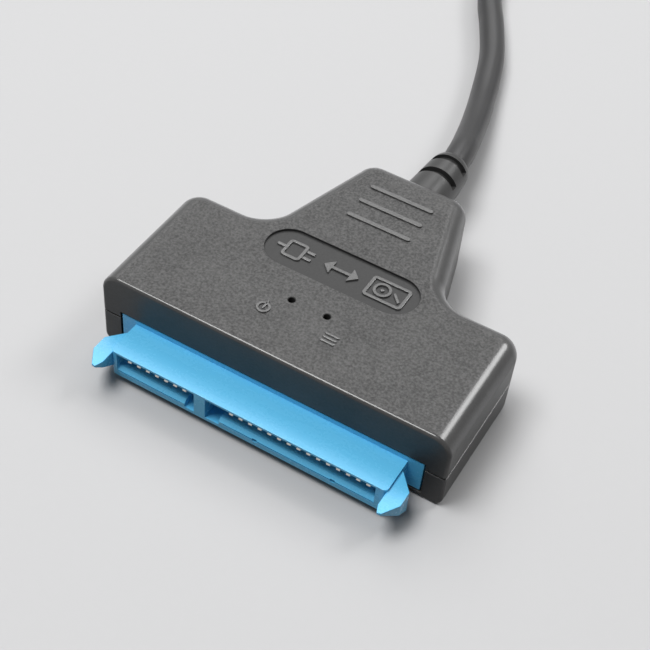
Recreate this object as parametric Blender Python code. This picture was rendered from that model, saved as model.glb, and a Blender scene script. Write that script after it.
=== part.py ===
"""USB to SATA adapter: a two-shell casing with a 22-contact drive receptacle and a short lead to a USB plug.

Metres, +Z up. +X runs along the receptacle, -Y is the side that meets the drive, +Y is the lead's side.
The origin is the middle of the casing's flat underside.
"""
import bpy
import bmesh
from math import cos, sin, tan, sqrt, pi, radians
from mathutils import Vector

# Casing
CASE_HEIGHT = 0.0110
CASE_LENGTH = 0.0363
HEAD_SIDE = 0.00265
HEAD_DEPTH = 0.0188
NECK_END_WIDTH = 0.0142
NECK_TAPER = radians(15.7)
HEAD_CORNER = 0.0026
NECK_INSIDE_CORNER = 0.0043
NECK_CORNER = 0.0022
FRONT_CORNER = 0.0005
SIDE_FILLET = 0.0014
FRONT_FILLET = 0.0007
BASE_FILLET = 0.0010
WALL = 0.0016
ROOF = 0.0015
FLOOR = 0.0013
PARTING_HEIGHT = 0.0049
PARTING_GAP = 0.0002
FIT_GAP = 0.0002

# Features on the top face, measured back from the casing's front face
PANEL_LENGTH = 0.0204
PANEL_WIDTH = 0.0063
PANEL_BACK = 0.0159
PANEL_DEPTH = 0.0003
LAMP_HOLE = 0.0009
LAMP_SPACING = 0.00472
LAMP_BACK = 0.0085
GRIP_LENGTH = 0.0088
GRIP_WIDTH = 0.0006
GRIP_HEIGHT = 0.0002
GRIP_PITCH = 0.00303
GRIP_BACK = 0.0280
GRIP_COUNT = 3

# Drive receptacle
PITCH = 0.00127
SIGNAL_COUNT = 7
POWER_COUNT = 15
GROUP_STEP = 0.00635
FLANGE_WIDTH = 0.0406
FLANGE_TOP = 0.0057
FLANGE_BOTTOM = 0.0010
FLANGE_PROUD = 0.0003
COLLAR_LEDGE = 0.0005
BODY_BACK = 0.0060
NOSE_WIDTH = 0.03646
NOSE_TOP = 0.00497
NOSE_BOTTOM = 0.00117
NOSE_REACH = 0.0051
MOUTH_WIDTH = 0.0349
MOUTH_TOP = 0.00405
MOUTH_BOTTOM = 0.00255
MOUTH_DEPTH = 0.0064
KEY_FLOOR = 0.0016
KEY_DIVIDER_LEFT = -0.0067
KEY_DIVIDER_RIGHT = -0.0052
SIGNAL_KEY_WIDTH = 0.0013
POWER_KEY_WIDTH = 0.0019
ARM_TOP = 0.0046
ARM_BOTTOM = 0.0013
ARM_SPREAD = 0.00207
ARM_ROOT_REACH = 0.0015
ARM_STRAIGHT = 0.0021
ARM_TIP_REACH = 0.0078
ARM_TIP_THICKNESS = 0.00035
ARM_TIP_OUTER = 0.0008
ARM_TIP_INNER = 0.0003
ARM_TIP_CHAMFER = 0.0010

# Receptacle contacts
CONTACT_WIDTH = 0.0005
CONTACT_THICKNESS = 0.0002
CONTACT_GAP = 0.0001
CONTACT_RUN_HEIGHT = 0.00425
CONTACT_DIP = 0.0007
CONTACT_TIP_BACK = 0.0004
CONTACT_FOOT = 0.0009

# Circuit board and what is soldered to it
BOARD_THICKNESS = 0.0010
BOARD_TOP = 0.00305
BOARD_SIDE_GAP = 0.00075
BOARD_TAIL_WIDTH = 0.0124
BOARD_POST_GAP = 0.0011
BOARD_EDGE_GAP = 0.00025
PARTS_BACK = 0.0131
BRIDGE_CHIP = (0.0070, 0.0050, 0.0010)
MEMORY_CHIP = (0.0050, 0.0040, 0.0015)
CRYSTAL_CAN = (0.0050, 0.0032, 0.0013)
COIL_BODY = (0.0042, 0.0042, 0.0020)
REGULATOR_BODY = (0.0042, 0.0030, 0.0012)
TANTALUM_BODY = (0.0035, 0.0028, 0.0019)
LAMP_BODY = (0.0016, 0.0008, 0.0007)

# Posts that locate the board and the shells
POST_EDGE = 0.0030
POST_BACK = 0.0134
POST_RADIUS = 0.0017
PIN_RADIUS = 0.0009
PIN_REACH = 0.0018
REAR_POST_SPACING = 0.0112
REAR_POST_INSET = 0.0038
REAR_POST_RADIUS = 0.0014

# Lead and its strain relief
CABLE_DIAMETER = 0.0039
CABLE_AXIS_HEIGHT = 0.0052
BORE_GAP = 0.0002
RELIEF_LENGTH = 0.0108
RELIEF_BASE_RADIUS = 0.00335
RELIEF_END_RADIUS = 0.00275
RELIEF_THROAT_RADIUS = 0.00285
RELIEF_FLANGE_RADIUS = 0.00375
RELIEF_FLANGE_THICKNESS = 0.0014
SLOT_WIDTH = 0.0009
SLOT_PITCH = 0.0034
SLOT_FIRST = 0.0055
SLOT_CORE = 0.0002
SLOT_WEB = radians(24)
WIRE_DIAMETER = 0.00042
WIRE_PITCH = 0.0008
WIRE_COUNT = 9
WIRE_RING = 0.0012
WIRE_FAN = radians(230)
WIRE_SETBACK = 0.0006
JACKET_SETBACK = 0.0022

# USB plug
GRIP_BODY_WIDTH = 0.0152
GRIP_BODY_HEIGHT = 0.0076
GRIP_BODY_LENGTH = 0.0195
GRIP_TAIL_LENGTH = 0.0062
GRIP_TAIL_RADIUS = 0.0029
PLUG_AXIS_HEIGHT = 0.0039
PLUG_SHELL_WIDTH = 0.0120
PLUG_SHELL_HEIGHT = 0.0045
PLUG_SHELL_REACH = 0.0122
PLUG_SHELL_SEAT = 0.0050
PLUG_SHELL_THICKNESS = 0.0003
PLUG_SHELL_CORNER = 0.0006
LATCH_WINDOW = 0.0022
LATCH_SPACING = 0.0050
LATCH_BACK = 0.0054
TONGUE_THICKNESS = 0.0018
TONGUE_FRONT_GAP = 0.0006
TONGUE_BLOCK_LENGTH = 0.0040
PAD_WIDTH = 0.0010
PAD_THICKNESS = 0.0002
PAD_LENGTH = 0.0062
PAD_PITCH = 0.0024
PAD_COUNT = 4
FAST_PAD_WIDTH = 0.0008
FAST_PAD_LENGTH = 0.0016
FAST_PAD_PITCH = 0.0019
FAST_PAD_COUNT = 5
FAST_PAD_BACK = 0.0092

HEAD_WIDTH = FLANGE_WIDTH + 2 * HEAD_SIDE
FRONT_Y = -CASE_LENGTH / 2
BACK_Y = CASE_LENGTH / 2
RELIEF_END_Y = BACK_Y + RELIEF_LENGTH
CABLE_RADIUS = CABLE_DIAMETER / 2
REAR_POST_Y = BACK_Y - WALL - REAR_POST_INSET
BOARD_WIDTH = HEAD_WIDTH - 2 * (WALL + BOARD_SIDE_GAP)
POST_X = BOARD_WIDTH / 2 - POST_EDGE
BOARD_FRONT_Y = FRONT_Y + BODY_BACK + BOARD_EDGE_GAP
BOARD_BACK_Y = REAR_POST_Y - REAR_POST_RADIUS - BOARD_POST_GAP
FLANGE_FRONT_Y = FRONT_Y - FLANGE_PROUD
NOSE_FRONT_Y = FRONT_Y - NOSE_REACH
FIRST_CONTACT_X = -((SIGNAL_COUNT - 1 + POWER_COUNT - 1) * PITCH + GROUP_STEP) / 2

# The free lead: it leaves the strain relief level, comes down to the table, and turns back on itself once
LEAD_ROUTE = [
    (-0.0005, 0.0330, 0.0049),
    (-0.0012, 0.0362, 0.0042),
    (-0.0027, 0.0424, 0.0031),
    (-0.0047, 0.0494, 0.0023),
    (-0.0078, 0.0589, 0.00205),
    (-0.0116, 0.0669, 0.00205),
    (-0.0150, 0.0733, 0.00205),
    (-0.0185, 0.0825, 0.00205),
    (-0.0208, 0.0960, 0.00205),
    (-0.0213, 0.1120, 0.00205),
    (-0.0208, 0.1280, 0.00205),
    (-0.0186, 0.1440, 0.00205),
    (-0.0118, 0.1570, 0.00205),
    (-0.0010, 0.1620, 0.0022),
    (0.0095, 0.1575, 0.0028),
    (0.0145, 0.1480, 0.0035),
]
PLUG_X = 0.0150
PLUG_Y = 0.1380


def material(name, colour, roughness, metallic=0.0):
    made = bpy.data.materials.new(name)
    made.use_nodes = True
    shader = made.node_tree.nodes["Principled BSDF"]
    shader.inputs["Base Color"].default_value = (*colour, 1.0)
    shader.inputs["Roughness"].default_value = roughness
    shader.inputs["Metallic"].default_value = metallic
    made.diffuse_color = (*colour, 1.0)
    return made


def new_object(name, bm, finish=None, smooth=True):
    """Closes a bmesh into a named object, smooth where faces meet at under 35 degrees."""
    bmesh.ops.recalc_face_normals(bm, faces=bm.faces)
    mesh = bpy.data.meshes.new(name)
    bm.to_mesh(mesh)
    bm.free()
    if finish:
        mesh.materials.append(finish)
    if smooth:
        mesh.shade_smooth()
        mesh.set_sharp_from_angle(angle=radians(35))
    made = bpy.data.objects.new(name, mesh)
    bpy.context.scene.collection.objects.link(made)
    return made


def boolean(target, tool, operation):
    tool.hide_render = True
    tool.display_type = "WIRE"
    step = target.modifiers.new(tool.name, "BOOLEAN")
    step.operation = operation
    step.object = tool


def add_ring(bm, points):
    return [bm.verts.new(point) for point in points]


def join_rings(bm, first, second):
    for i in range(len(first)):
        k = (i + 1) % len(first)
        bm.faces.new((first[i], first[k], second[k], second[i]))


def loft(bm, rings):
    """One closed body through rings that have the same number of points, with flat ends."""
    made = [add_ring(bm, ring) for ring in rings]
    for first, second in zip(made, made[1:]):
        join_rings(bm, first, second)
    bm.faces.new(made[0])
    bm.faces.new(made[-1])


def box(bm, low, high):
    (x0, y0, z0), (x1, y1, z1) = low, high
    loft(bm, [[(x0, y0, z), (x1, y0, z), (x1, y1, z), (x0, y1, z)] for z in (z0, z1)])


def prism(bm, outline, z0, z1):
    loft(bm, [[(x, y, z) for x, y in outline] for z in (z0, z1)])


def cylinder(bm, x, y, radius, z0, z1, sides=20):
    circle = [
        (x + radius * cos(2 * pi * k / sides), y + radius * sin(2 * pi * k / sides))
        for k in range(sides)
    ]
    prism(bm, circle, z0, z1)


def rounded(corners, steps=5):
    """An outline through (x, y, radius) corners, each drawn as an arc of that radius."""
    outline = []
    for i, (x, y, radius) in enumerate(corners):
        here = Vector((x, y))
        before = (Vector(corners[i - 1][:2]) - here).normalized()
        after = (Vector(corners[(i + 1) % len(corners)][:2]) - here).normalized()
        half = before.angle(after) / 2
        centre = here + (before + after).normalized() * radius / sin(half)
        start = here + before * radius / tan(half) - centre
        way = -1 if before.cross(after) > 0 else 1
        for k in range(steps + 1):
            turn = way * (pi - 2 * half) * k / steps
            outline.append((
                centre.x + start.x * cos(turn) - start.y * sin(turn),
                centre.y + start.x * sin(turn) + start.y * cos(turn),
            ))
    return outline


def case_outline(side_inset, front_inset):
    """The casing seen from above, drawn in by these amounts: a wide head that narrows to a tapering neck."""
    half = HEAD_WIDTH / 2 - side_inset
    front = FRONT_Y + front_inset
    shoulder = FRONT_Y + HEAD_DEPTH - side_inset
    back = BACK_Y - side_inset

    def neck_half(y):
        return NECK_END_WIDTH / 2 + (BACK_Y - y) * tan(NECK_TAPER) - side_inset / cos(NECK_TAPER)

    right = [
        (half, front, FRONT_CORNER),
        (half, shoulder, HEAD_CORNER - side_inset),
        (neck_half(shoulder), shoulder, NECK_INSIDE_CORNER + side_inset),
        (neck_half(back), back, NECK_CORNER - side_inset),
    ]
    return rounded(right + [(-x, y, radius) for x, y, radius in reversed(right)])


def fillet_inset(depth, radius):
    """How far a fillet has drawn its wall in, at this depth under the face that it meets."""
    return radius - sqrt(max(radius**2 - (radius - depth) ** 2, 0)) if depth < radius else 0.0


def shell_body(rim, face, cavity, fillet):
    """Half a casing: walls from its open rim to its closed face, hollow as far as cavity."""
    away = 1 if face > rim else -1
    depths = [fillet * (1 - sin(radians(turn))) for turn in (0, 20, 38, 54, 68, 80)] + [0.0]
    levels = [(rim, 0.0, 0.0)]
    for depth in depths:
        levels.append((face - away * depth, fillet_inset(depth, fillet), fillet_inset(depth, FRONT_FILLET)))
    bm = bmesh.new()
    outside = [
        add_ring(bm, [(x, y, z) for x, y in case_outline(side, front)]) for z, side, front in levels
    ]
    inside = [
        add_ring(bm, [(x, y, z) for x, y in case_outline(WALL, WALL)]) for z in (rim, cavity)
    ]
    for first, second in zip(outside, outside[1:]):
        join_rings(bm, first, second)
    join_rings(bm, outside[0], inside[0])
    join_rings(bm, inside[0], inside[1])
    bm.faces.new(outside[-1])
    bm.faces.new(inside[-1])
    return bm


def stadium(length, width, x, y, steps=12):
    """A bar with round ends, seen from above."""
    reach = (length - width) / 2
    ends = [(x + reach, -pi / 2), (x - reach, pi / 2)]
    return [
        (centre + width / 2 * cos(start + pi * k / steps), y + width / 2 * sin(start + pi * k / steps))
        for centre, start in ends
        for k in range(steps + 1)
    ]


def turned(bm, profile, axis_z, sides=28):
    """A body turned about a line along Y at this height, from (y, radius) stations."""
    loft(bm, [
        [
            (radius * cos(2 * pi * k / sides), y, axis_z + radius * sin(2 * pi * k / sides))
            for k in range(sides)
        ]
        for y, radius in profile
    ])


def block(name, size, x, y, z, finish, bevel=0.0):
    """A component's body standing at this height, with its upper and side edges eased."""
    bm = bmesh.new()
    box(bm, (x - size[0] / 2, y - size[1] / 2, z), (x + size[0] / 2, y + size[1] / 2, z + size[2]))
    if bevel:
        bmesh.ops.bevel(bm, geom=list(bm.edges), offset=bevel, segments=1, affect="EDGES", profile=0.5)
    return new_object(name, bm, finish, smooth=False)


def curve_tube(name, points, radius, resolution, finish):
    made = bpy.data.curves.new(name, "CURVE")
    made.dimensions = "3D"
    made.bevel_depth = radius
    made.bevel_resolution = resolution
    made.use_fill_caps = True
    line = made.splines.new("POLY")
    line.points.add(len(points) - 1)
    for at, point in zip(line.points, points):
        at.co = (*point, 1.0)
    made.materials.append(finish)
    tube = bpy.data.objects.new(name, made)
    bpy.context.scene.collection.objects.link(tube)
    return tube


def smooth_line(route, count):
    """Evenly spaced points on a Catmull-Rom curve through the route."""
    padded = [2 * route[0] - route[1]] + route + [2 * route[-1] - route[-2]]
    fine = []
    for a, b, c, d in zip(padded, padded[1:], padded[2:], padded[3:]):
        for k in range(24):
            t = k / 24
            slope = c - a
            bend = 2 * a - 5 * b + 4 * c - d
            twist = 3 * b - a - 3 * c + d
            fine.append(b + (slope * t + bend * t**2 + twist * t**3) / 2)
    fine.append(route[-1])
    run = [0.0]
    for first, second in zip(fine, fine[1:]):
        run.append(run[-1] + (second - first).length)
    points, at = [], 0
    for k in range(count):
        want = run[-1] * k / (count - 1)
        while at < len(run) - 2 and run[at + 1] < want:
            at += 1
        share = (want - run[at]) / (run[at + 1] - run[at])
        points.append(fine[at].lerp(fine[at + 1], min(share, 1.0)))
    return points


def make_shells(casing):
    """Both halves of the casing, with the openings, posts and raised features that are moulded into them."""
    top_rim = PARTING_HEIGHT + PARTING_GAP / 2
    base_rim = PARTING_HEIGHT - PARTING_GAP / 2
    top_roof = CASE_HEIGHT - ROOF
    top = new_object("top_shell", shell_body(top_rim, CASE_HEIGHT, top_roof, SIDE_FILLET), casing)
    base = new_object("bottom_shell", shell_body(base_rim, 0.0, FLOOR, BASE_FILLET), casing)

    # Posts rise from the base and bosses hang from the roof, with the board held between the front pairs
    posts = bmesh.new()
    bosses = bmesh.new()
    sockets = bmesh.new()
    for side in (-1, 1):
        x = side * POST_X
        y = FRONT_Y + POST_BACK
        board_base = BOARD_TOP - BOARD_THICKNESS
        cylinder(posts, x, y, POST_RADIUS, FLOOR / 2, board_base - FIT_GAP)
        cylinder(posts, x, y, PIN_RADIUS, FLOOR / 2, BOARD_TOP + FIT_GAP + PIN_REACH)
        cylinder(bosses, x, y, POST_RADIUS, BOARD_TOP + FIT_GAP, CASE_HEIGHT - ROOF / 2)
        cylinder(sockets, x, y, PIN_RADIUS + FIT_GAP, BOARD_TOP - FIT_GAP, BOARD_TOP + 2 * FIT_GAP + PIN_REACH)
        x = side * REAR_POST_SPACING / 2
        y = REAR_POST_Y
        cylinder(posts, x, y, REAR_POST_RADIUS, FLOOR / 2, base_rim)
        cylinder(posts, x, y, PIN_RADIUS, FLOOR / 2, top_rim + PIN_REACH)
        cylinder(bosses, x, y, REAR_POST_RADIUS, top_rim, CASE_HEIGHT - ROOF / 2)
        cylinder(sockets, x, y, PIN_RADIUS + FIT_GAP, top_rim - FIT_GAP, top_rim + FIT_GAP + PIN_REACH)
    boolean(base, new_object("post_tool", posts), "UNION")
    boolean(top, new_object("boss_tool", bosses), "UNION")
    boolean(top, new_object("socket_tool", sockets), "DIFFERENCE")

    # The mouth for the receptacle's flange and the round hole for the strain relief's throat pass through both
    mouth = bmesh.new()
    half = FLANGE_WIDTH / 2 + FIT_GAP
    box(
        mouth,
        (-half, FRONT_Y - WALL, FLANGE_BOTTOM - FIT_GAP),
        (half, FRONT_Y + WALL + FIT_GAP, FLANGE_TOP + FIT_GAP),
    )
    throat = bmesh.new()
    turned(
        throat,
        [(BACK_Y - 2 * WALL, RELIEF_THROAT_RADIUS + FIT_GAP), (BACK_Y + WALL, RELIEF_THROAT_RADIUS + FIT_GAP)],
        CABLE_AXIS_HEIGHT,
    )
    for name, bm in (("mouth_tool", mouth), ("throat_tool", throat)):
        tool = new_object(name, bm)
        boolean(top, tool, "DIFFERENCE")
        boolean(base, tool, "DIFFERENCE")

    # A sunk panel with round ends, two lamp holes and three grip bars on the top face
    sunk = bmesh.new()
    panel = stadium(PANEL_LENGTH, PANEL_WIDTH, 0.0, FRONT_Y + PANEL_BACK)
    prism(sunk, panel, CASE_HEIGHT - PANEL_DEPTH, CASE_HEIGHT + PANEL_DEPTH)
    for side in (-1, 1):
        x = side * LAMP_SPACING / 2
        cylinder(sunk, x, FRONT_Y + LAMP_BACK, LAMP_HOLE / 2, top_roof - ROOF, CASE_HEIGHT + ROOF)
    boolean(top, new_object("top_face_tool", sunk), "DIFFERENCE")
    bars = bmesh.new()
    for k in range(GRIP_COUNT):
        y = FRONT_Y + GRIP_BACK + (k - (GRIP_COUNT - 1) / 2) * GRIP_PITCH
        bar = stadium(GRIP_LENGTH, GRIP_WIDTH, 0.0, y, steps=6)
        prism(bars, bar, CASE_HEIGHT - ROOF / 2, CASE_HEIGHT + GRIP_HEIGHT)
    boolean(top, new_object("grip_tool", bars), "UNION")


def contact_places():
    """The x of every receptacle contact, signal group first."""
    places = []
    for k in range(SIGNAL_COUNT):
        places.append(("signal_contact_%d" % (k + 1), FIRST_CONTACT_X + k * PITCH))
    power_start = FIRST_CONTACT_X + (SIGNAL_COUNT - 1) * PITCH + GROUP_STEP
    for k in range(POWER_COUNT):
        places.append(("power_contact_%d" % (k + 1), power_start + k * PITCH))
    return places


def guide_arm(bm, side):
    """One end arm: it flares out from the nose and runs on past it, flat on top, with a ramp under its tip."""
    root = NOSE_WIDTH / 2
    sunk = root - FIT_GAP / 2
    outer = root + ARM_SPREAD
    shoulder = FRONT_Y - ARM_ROOT_REACH - ARM_SPREAD
    tip = FRONT_Y - ARM_TIP_REACH
    flat = [
        (sunk, shoulder),
        (sunk, FRONT_Y - ARM_ROOT_REACH + FIT_GAP / 2),
        (outer, shoulder),
    ]
    ramp = [
        (outer, shoulder - ARM_STRAIGHT),
        (root + ARM_TIP_OUTER, tip + FIT_GAP / 2),
        (root + ARM_TIP_INNER, tip),
        (sunk, tip + ARM_TIP_CHAMFER),
    ]
    rise = (ARM_TOP - ARM_TIP_THICKNESS - ARM_BOTTOM) / (shoulder - tip)
    outline = flat + ramp
    under = add_ring(bm, [(side * x, y, ARM_BOTTOM + rise * max(0.0, shoulder - y)) for x, y in outline])
    over = add_ring(bm, [(side * x, y, ARM_TOP) for x, y in outline])
    join_rings(bm, under, over)
    bm.faces.new(under[:3])
    bm.faces.new([under[0]] + under[2:])
    bm.faces.new(over)


def make_receptacle(housing, contact_metal):
    """The moulded drive receptacle and its 22 contacts."""
    rear = FRONT_Y + BODY_BACK
    body = bmesh.new()
    half = FLANGE_WIDTH / 2
    box(body, (-half, FLANGE_FRONT_Y, FLANGE_BOTTOM), (half, FRONT_Y + WALL + FIT_GAP, FLANGE_TOP))
    made = new_object("sata_housing", body, housing, smooth=False)

    rear_block = bmesh.new()
    held = half + COLLAR_LEDGE
    box(
        rear_block,
        (-held, FRONT_Y + WALL + FIT_GAP, FLOOR + FIT_GAP),
        (held, rear, FLANGE_TOP + COLLAR_LEDGE + FIT_GAP),
    )
    box(
        rear_block,
        (-half + FIT_GAP, FLANGE_FRONT_Y + FIT_GAP, FLOOR + 2 * FIT_GAP),
        (half - FIT_GAP, rear - FIT_GAP, FLANGE_TOP - FIT_GAP),
    )
    boolean(made, new_object("rear_block_tool", rear_block), "UNION")

    nose = bmesh.new()
    wide = NOSE_WIDTH / 2
    box(nose, (-wide, NOSE_FRONT_Y, NOSE_BOTTOM), (wide, FLANGE_FRONT_Y + FIT_GAP, NOSE_TOP))
    boolean(made, new_object("nose_tool", nose), "UNION")

    arms = bmesh.new()
    for side in (-1, 1):
        guide_arm(arms, side)
    boolean(made, new_object("arm_tool", arms), "UNION")

    # The mouth: two slots that each turn down beside the divider, as the drive's keyed tongues do
    mouth = bmesh.new()
    reach = MOUTH_WIDTH / 2
    ahead = NOSE_FRONT_Y - WALL
    back = NOSE_FRONT_Y + MOUTH_DEPTH
    signal_key = [
        (-reach, MOUTH_BOTTOM),
        (KEY_DIVIDER_LEFT - SIGNAL_KEY_WIDTH, MOUTH_BOTTOM),
        (KEY_DIVIDER_LEFT - SIGNAL_KEY_WIDTH, KEY_FLOOR),
        (KEY_DIVIDER_LEFT, KEY_FLOOR),
        (KEY_DIVIDER_LEFT, MOUTH_TOP),
        (-reach, MOUTH_TOP),
    ]
    power_key = [
        (KEY_DIVIDER_RIGHT, MOUTH_TOP),
        (KEY_DIVIDER_RIGHT, KEY_FLOOR),
        (KEY_DIVIDER_RIGHT + POWER_KEY_WIDTH, KEY_FLOOR),
        (KEY_DIVIDER_RIGHT + POWER_KEY_WIDTH, MOUTH_BOTTOM),
        (reach, MOUTH_BOTTOM),
        (reach, MOUTH_TOP),
    ]
    for outline in (signal_key, power_key):
        loft(mouth, [[(x, y, z) for x, z in outline] for y in (ahead, back)])
    boolean(made, new_object("slot_tool", mouth), "DIFFERENCE")

    # One channel for each contact, along the roof of the slot and out through the back
    channels = bmesh.new()
    wide = CONTACT_WIDTH / 2 + CONTACT_GAP
    thick = CONTACT_THICKNESS / 2 + CONTACT_GAP
    for _, x in contact_places():
        box(
            channels,
            (x - wide, ahead, CONTACT_RUN_HEIGHT - thick),
            (x + wide, rear + WALL, CONTACT_RUN_HEIGHT + thick),
        )
    boolean(made, new_object("channel_tool", channels), "DIFFERENCE")

    foot_height = BOARD_TOP + CONTACT_GAP + CONTACT_THICKNESS / 2
    tip = NOSE_FRONT_Y + CONTACT_TIP_BACK
    path = [
        (tip, CONTACT_RUN_HEIGHT - 0.45 * CONTACT_DIP),
        (tip + 0.0006, CONTACT_RUN_HEIGHT - 0.9 * CONTACT_DIP),
        (tip + 0.0013, CONTACT_RUN_HEIGHT - CONTACT_DIP),
        (tip + 0.0024, CONTACT_RUN_HEIGHT - 0.7 * CONTACT_DIP),
        (tip + 0.0040, CONTACT_RUN_HEIGHT),
        (rear + 0.0003, CONTACT_RUN_HEIGHT),
        (rear + 0.0006, CONTACT_RUN_HEIGHT - 0.0003),
        (rear + 0.0006, foot_height + 0.0003),
        (rear + 0.0009, foot_height),
        (rear + 0.0009 + CONTACT_FOOT, foot_height),
    ]
    for name, x in contact_places():
        bm = bmesh.new()
        loft(bm, [
            [
                (x + across * CONTACT_WIDTH / 2, y + up * normal.x, z + up * normal.y)
                for across, up in ((-1, -1), (1, -1), (1, 1), (-1, 1))
            ]
            for (y, z), normal in zip(path, strip_normals(path, CONTACT_THICKNESS / 2))
        ])
        new_object(name, bm, contact_metal)


def strip_normals(path, half):
    """The sideways step at each point of a bent strip that keeps its thickness even."""
    points = [Vector(point) for point in path]
    found = []
    for i, here in enumerate(points):
        before = (here - points[i - 1]).normalized() if i else (points[1] - here).normalized()
        after = (points[i + 1] - here).normalized() if i < len(points) - 1 else before
        along = (before + after).normalized()
        lean = max(along.dot(after), 0.5)
        found.append(Vector((-along.y, along.x)) * half / lean)
    return found


def share_out(start, end, sizes):
    """The centres of components of these sizes, with equal gaps between them and the two ends."""
    gap = (end - start - sum(sizes)) / (len(sizes) + 1)
    centres = []
    for size in sizes:
        centres.append(start + gap + size / 2)
        start += gap + size
    return centres


def make_board(laminate, epoxy, tin, ferrite, clear):
    """The board, seated behind the receptacle, and the components on it."""
    half = BOARD_WIDTH / 2
    tail = BOARD_TAIL_WIDTH / 2
    head_back = FRONT_Y + HEAD_DEPTH - WALL - BOARD_SIDE_GAP
    outline = [
        (-half, BOARD_FRONT_Y), (half, BOARD_FRONT_Y), (half, head_back), (tail, head_back),
        (tail, BOARD_BACK_Y), (-tail, BOARD_BACK_Y), (-tail, head_back), (-half, head_back),
    ]
    bm = bmesh.new()
    prism(bm, outline, BOARD_TOP - BOARD_THICKNESS, BOARD_TOP)
    board = new_object("circuit_board", bm, laminate, smooth=False)
    holes = bmesh.new()
    for side in (-1, 1):
        cylinder(
            holes,
            side * POST_X,
            FRONT_Y + POST_BACK,
            PIN_RADIUS + FIT_GAP,
            BOARD_TOP - 2 * BOARD_THICKNESS,
            BOARD_TOP + BOARD_THICKNESS,
        )
    boolean(board, new_object("board_hole_tool", holes), "DIFFERENCE")

    seat = BOARD_TOP + CONTACT_GAP
    row = FRONT_Y + PARTS_BACK
    beside = BRIDGE_CHIP[0] / 2, POST_X - POST_RADIUS
    crystal_x, input_x = share_out(*beside, (CRYSTAL_CAN[0], TANTALUM_BODY[0]))
    regulator_x, coil_x = share_out(*beside, (REGULATOR_BODY[0], COIL_BODY[0]))
    behind = row + BRIDGE_CHIP[1] / 2, BOARD_BACK_Y - 3 * WIRE_SETBACK
    memory_y, tail_y = share_out(*behind, (MEMORY_CHIP[1], TANTALUM_BODY[1]))
    block("bridge_chip", BRIDGE_CHIP, 0.0, row, seat, epoxy, 0.0001)
    block("memory_chip", MEMORY_CHIP, 0.0, memory_y, seat, epoxy, 0.0001)
    block("crystal", CRYSTAL_CAN, crystal_x, row, seat, tin, 0.0003)
    block("power_coil", COIL_BODY, -coil_x, row, seat, ferrite, 0.0003)
    block("regulator", REGULATOR_BODY, -regulator_x, row, seat, epoxy, 0.0001)
    block("input_capacitor", TANTALUM_BODY, input_x, row, seat, tin, 0.0002)
    block("tail_capacitor", TANTALUM_BODY, 0.0, tail_y, seat, tin, 0.0002)
    for name, side in (("power_lamp", -1), ("access_lamp", 1)):
        block(name, LAMP_BODY, side * LAMP_SPACING / 2, FRONT_Y + LAMP_BACK, seat, clear, 0.0001)


def make_strain_relief(rubber):
    """A flexible sleeve held in the neck's back wall by its inner flange, with slots above and below."""
    wall_front = BACK_Y - WALL
    front = wall_front - FIT_GAP - RELIEF_FLANGE_THICKNESS
    base = BACK_Y + FIT_GAP
    span = RELIEF_END_Y - base
    drop = RELIEF_BASE_RADIUS - RELIEF_END_RADIUS
    bm = bmesh.new()
    turned(
        bm,
        [
            (front, RELIEF_FLANGE_RADIUS),
            (wall_front - FIT_GAP, RELIEF_FLANGE_RADIUS),
            (wall_front - FIT_GAP, RELIEF_THROAT_RADIUS),
            (base, RELIEF_THROAT_RADIUS),
            (base, RELIEF_BASE_RADIUS),
            (base + 0.35 * span, RELIEF_BASE_RADIUS - 0.35 * drop),
            (base + 0.85 * span, RELIEF_BASE_RADIUS - 0.85 * drop),
            (base + 0.95 * span, RELIEF_END_RADIUS - 0.25 * drop),
            (RELIEF_END_Y, (RELIEF_END_RADIUS + CABLE_RADIUS) / 2),
        ],
        CABLE_AXIS_HEIGHT,
        sides=32,
    )
    sleeve = new_object("strain_relief", bm, rubber)
    bore = bmesh.new()
    hollow = CABLE_RADIUS + BORE_GAP
    turned(bore, [(front - WALL, hollow), (RELIEF_END_Y + WALL, hollow)], CABLE_AXIS_HEIGHT, sides=24)
    boolean(sleeve, new_object("bore_tool", bore), "DIFFERENCE")

    slots = bmesh.new()
    core = hollow + SLOT_CORE
    steps = 14
    for k in range(2):
        y = BACK_Y + SLOT_FIRST + k * SLOT_PITCH
        for start in (SLOT_WEB, pi + SLOT_WEB):
            outline = []
            for radius, order in ((2 * RELIEF_BASE_RADIUS, range(steps + 1)), (core, range(steps, -1, -1))):
                for step in order:
                    turn = start + (pi - 2 * SLOT_WEB) * step / steps
                    outline.append((radius * cos(turn), CABLE_AXIS_HEIGHT + radius * sin(turn)))
            loft(slots, [[(x, at, z) for x, z in outline] for at in (y - SLOT_WIDTH / 2, y + SLOT_WIDTH / 2)])
    boolean(sleeve, new_object("sleeve_slot_tool", slots), "DIFFERENCE")


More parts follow.
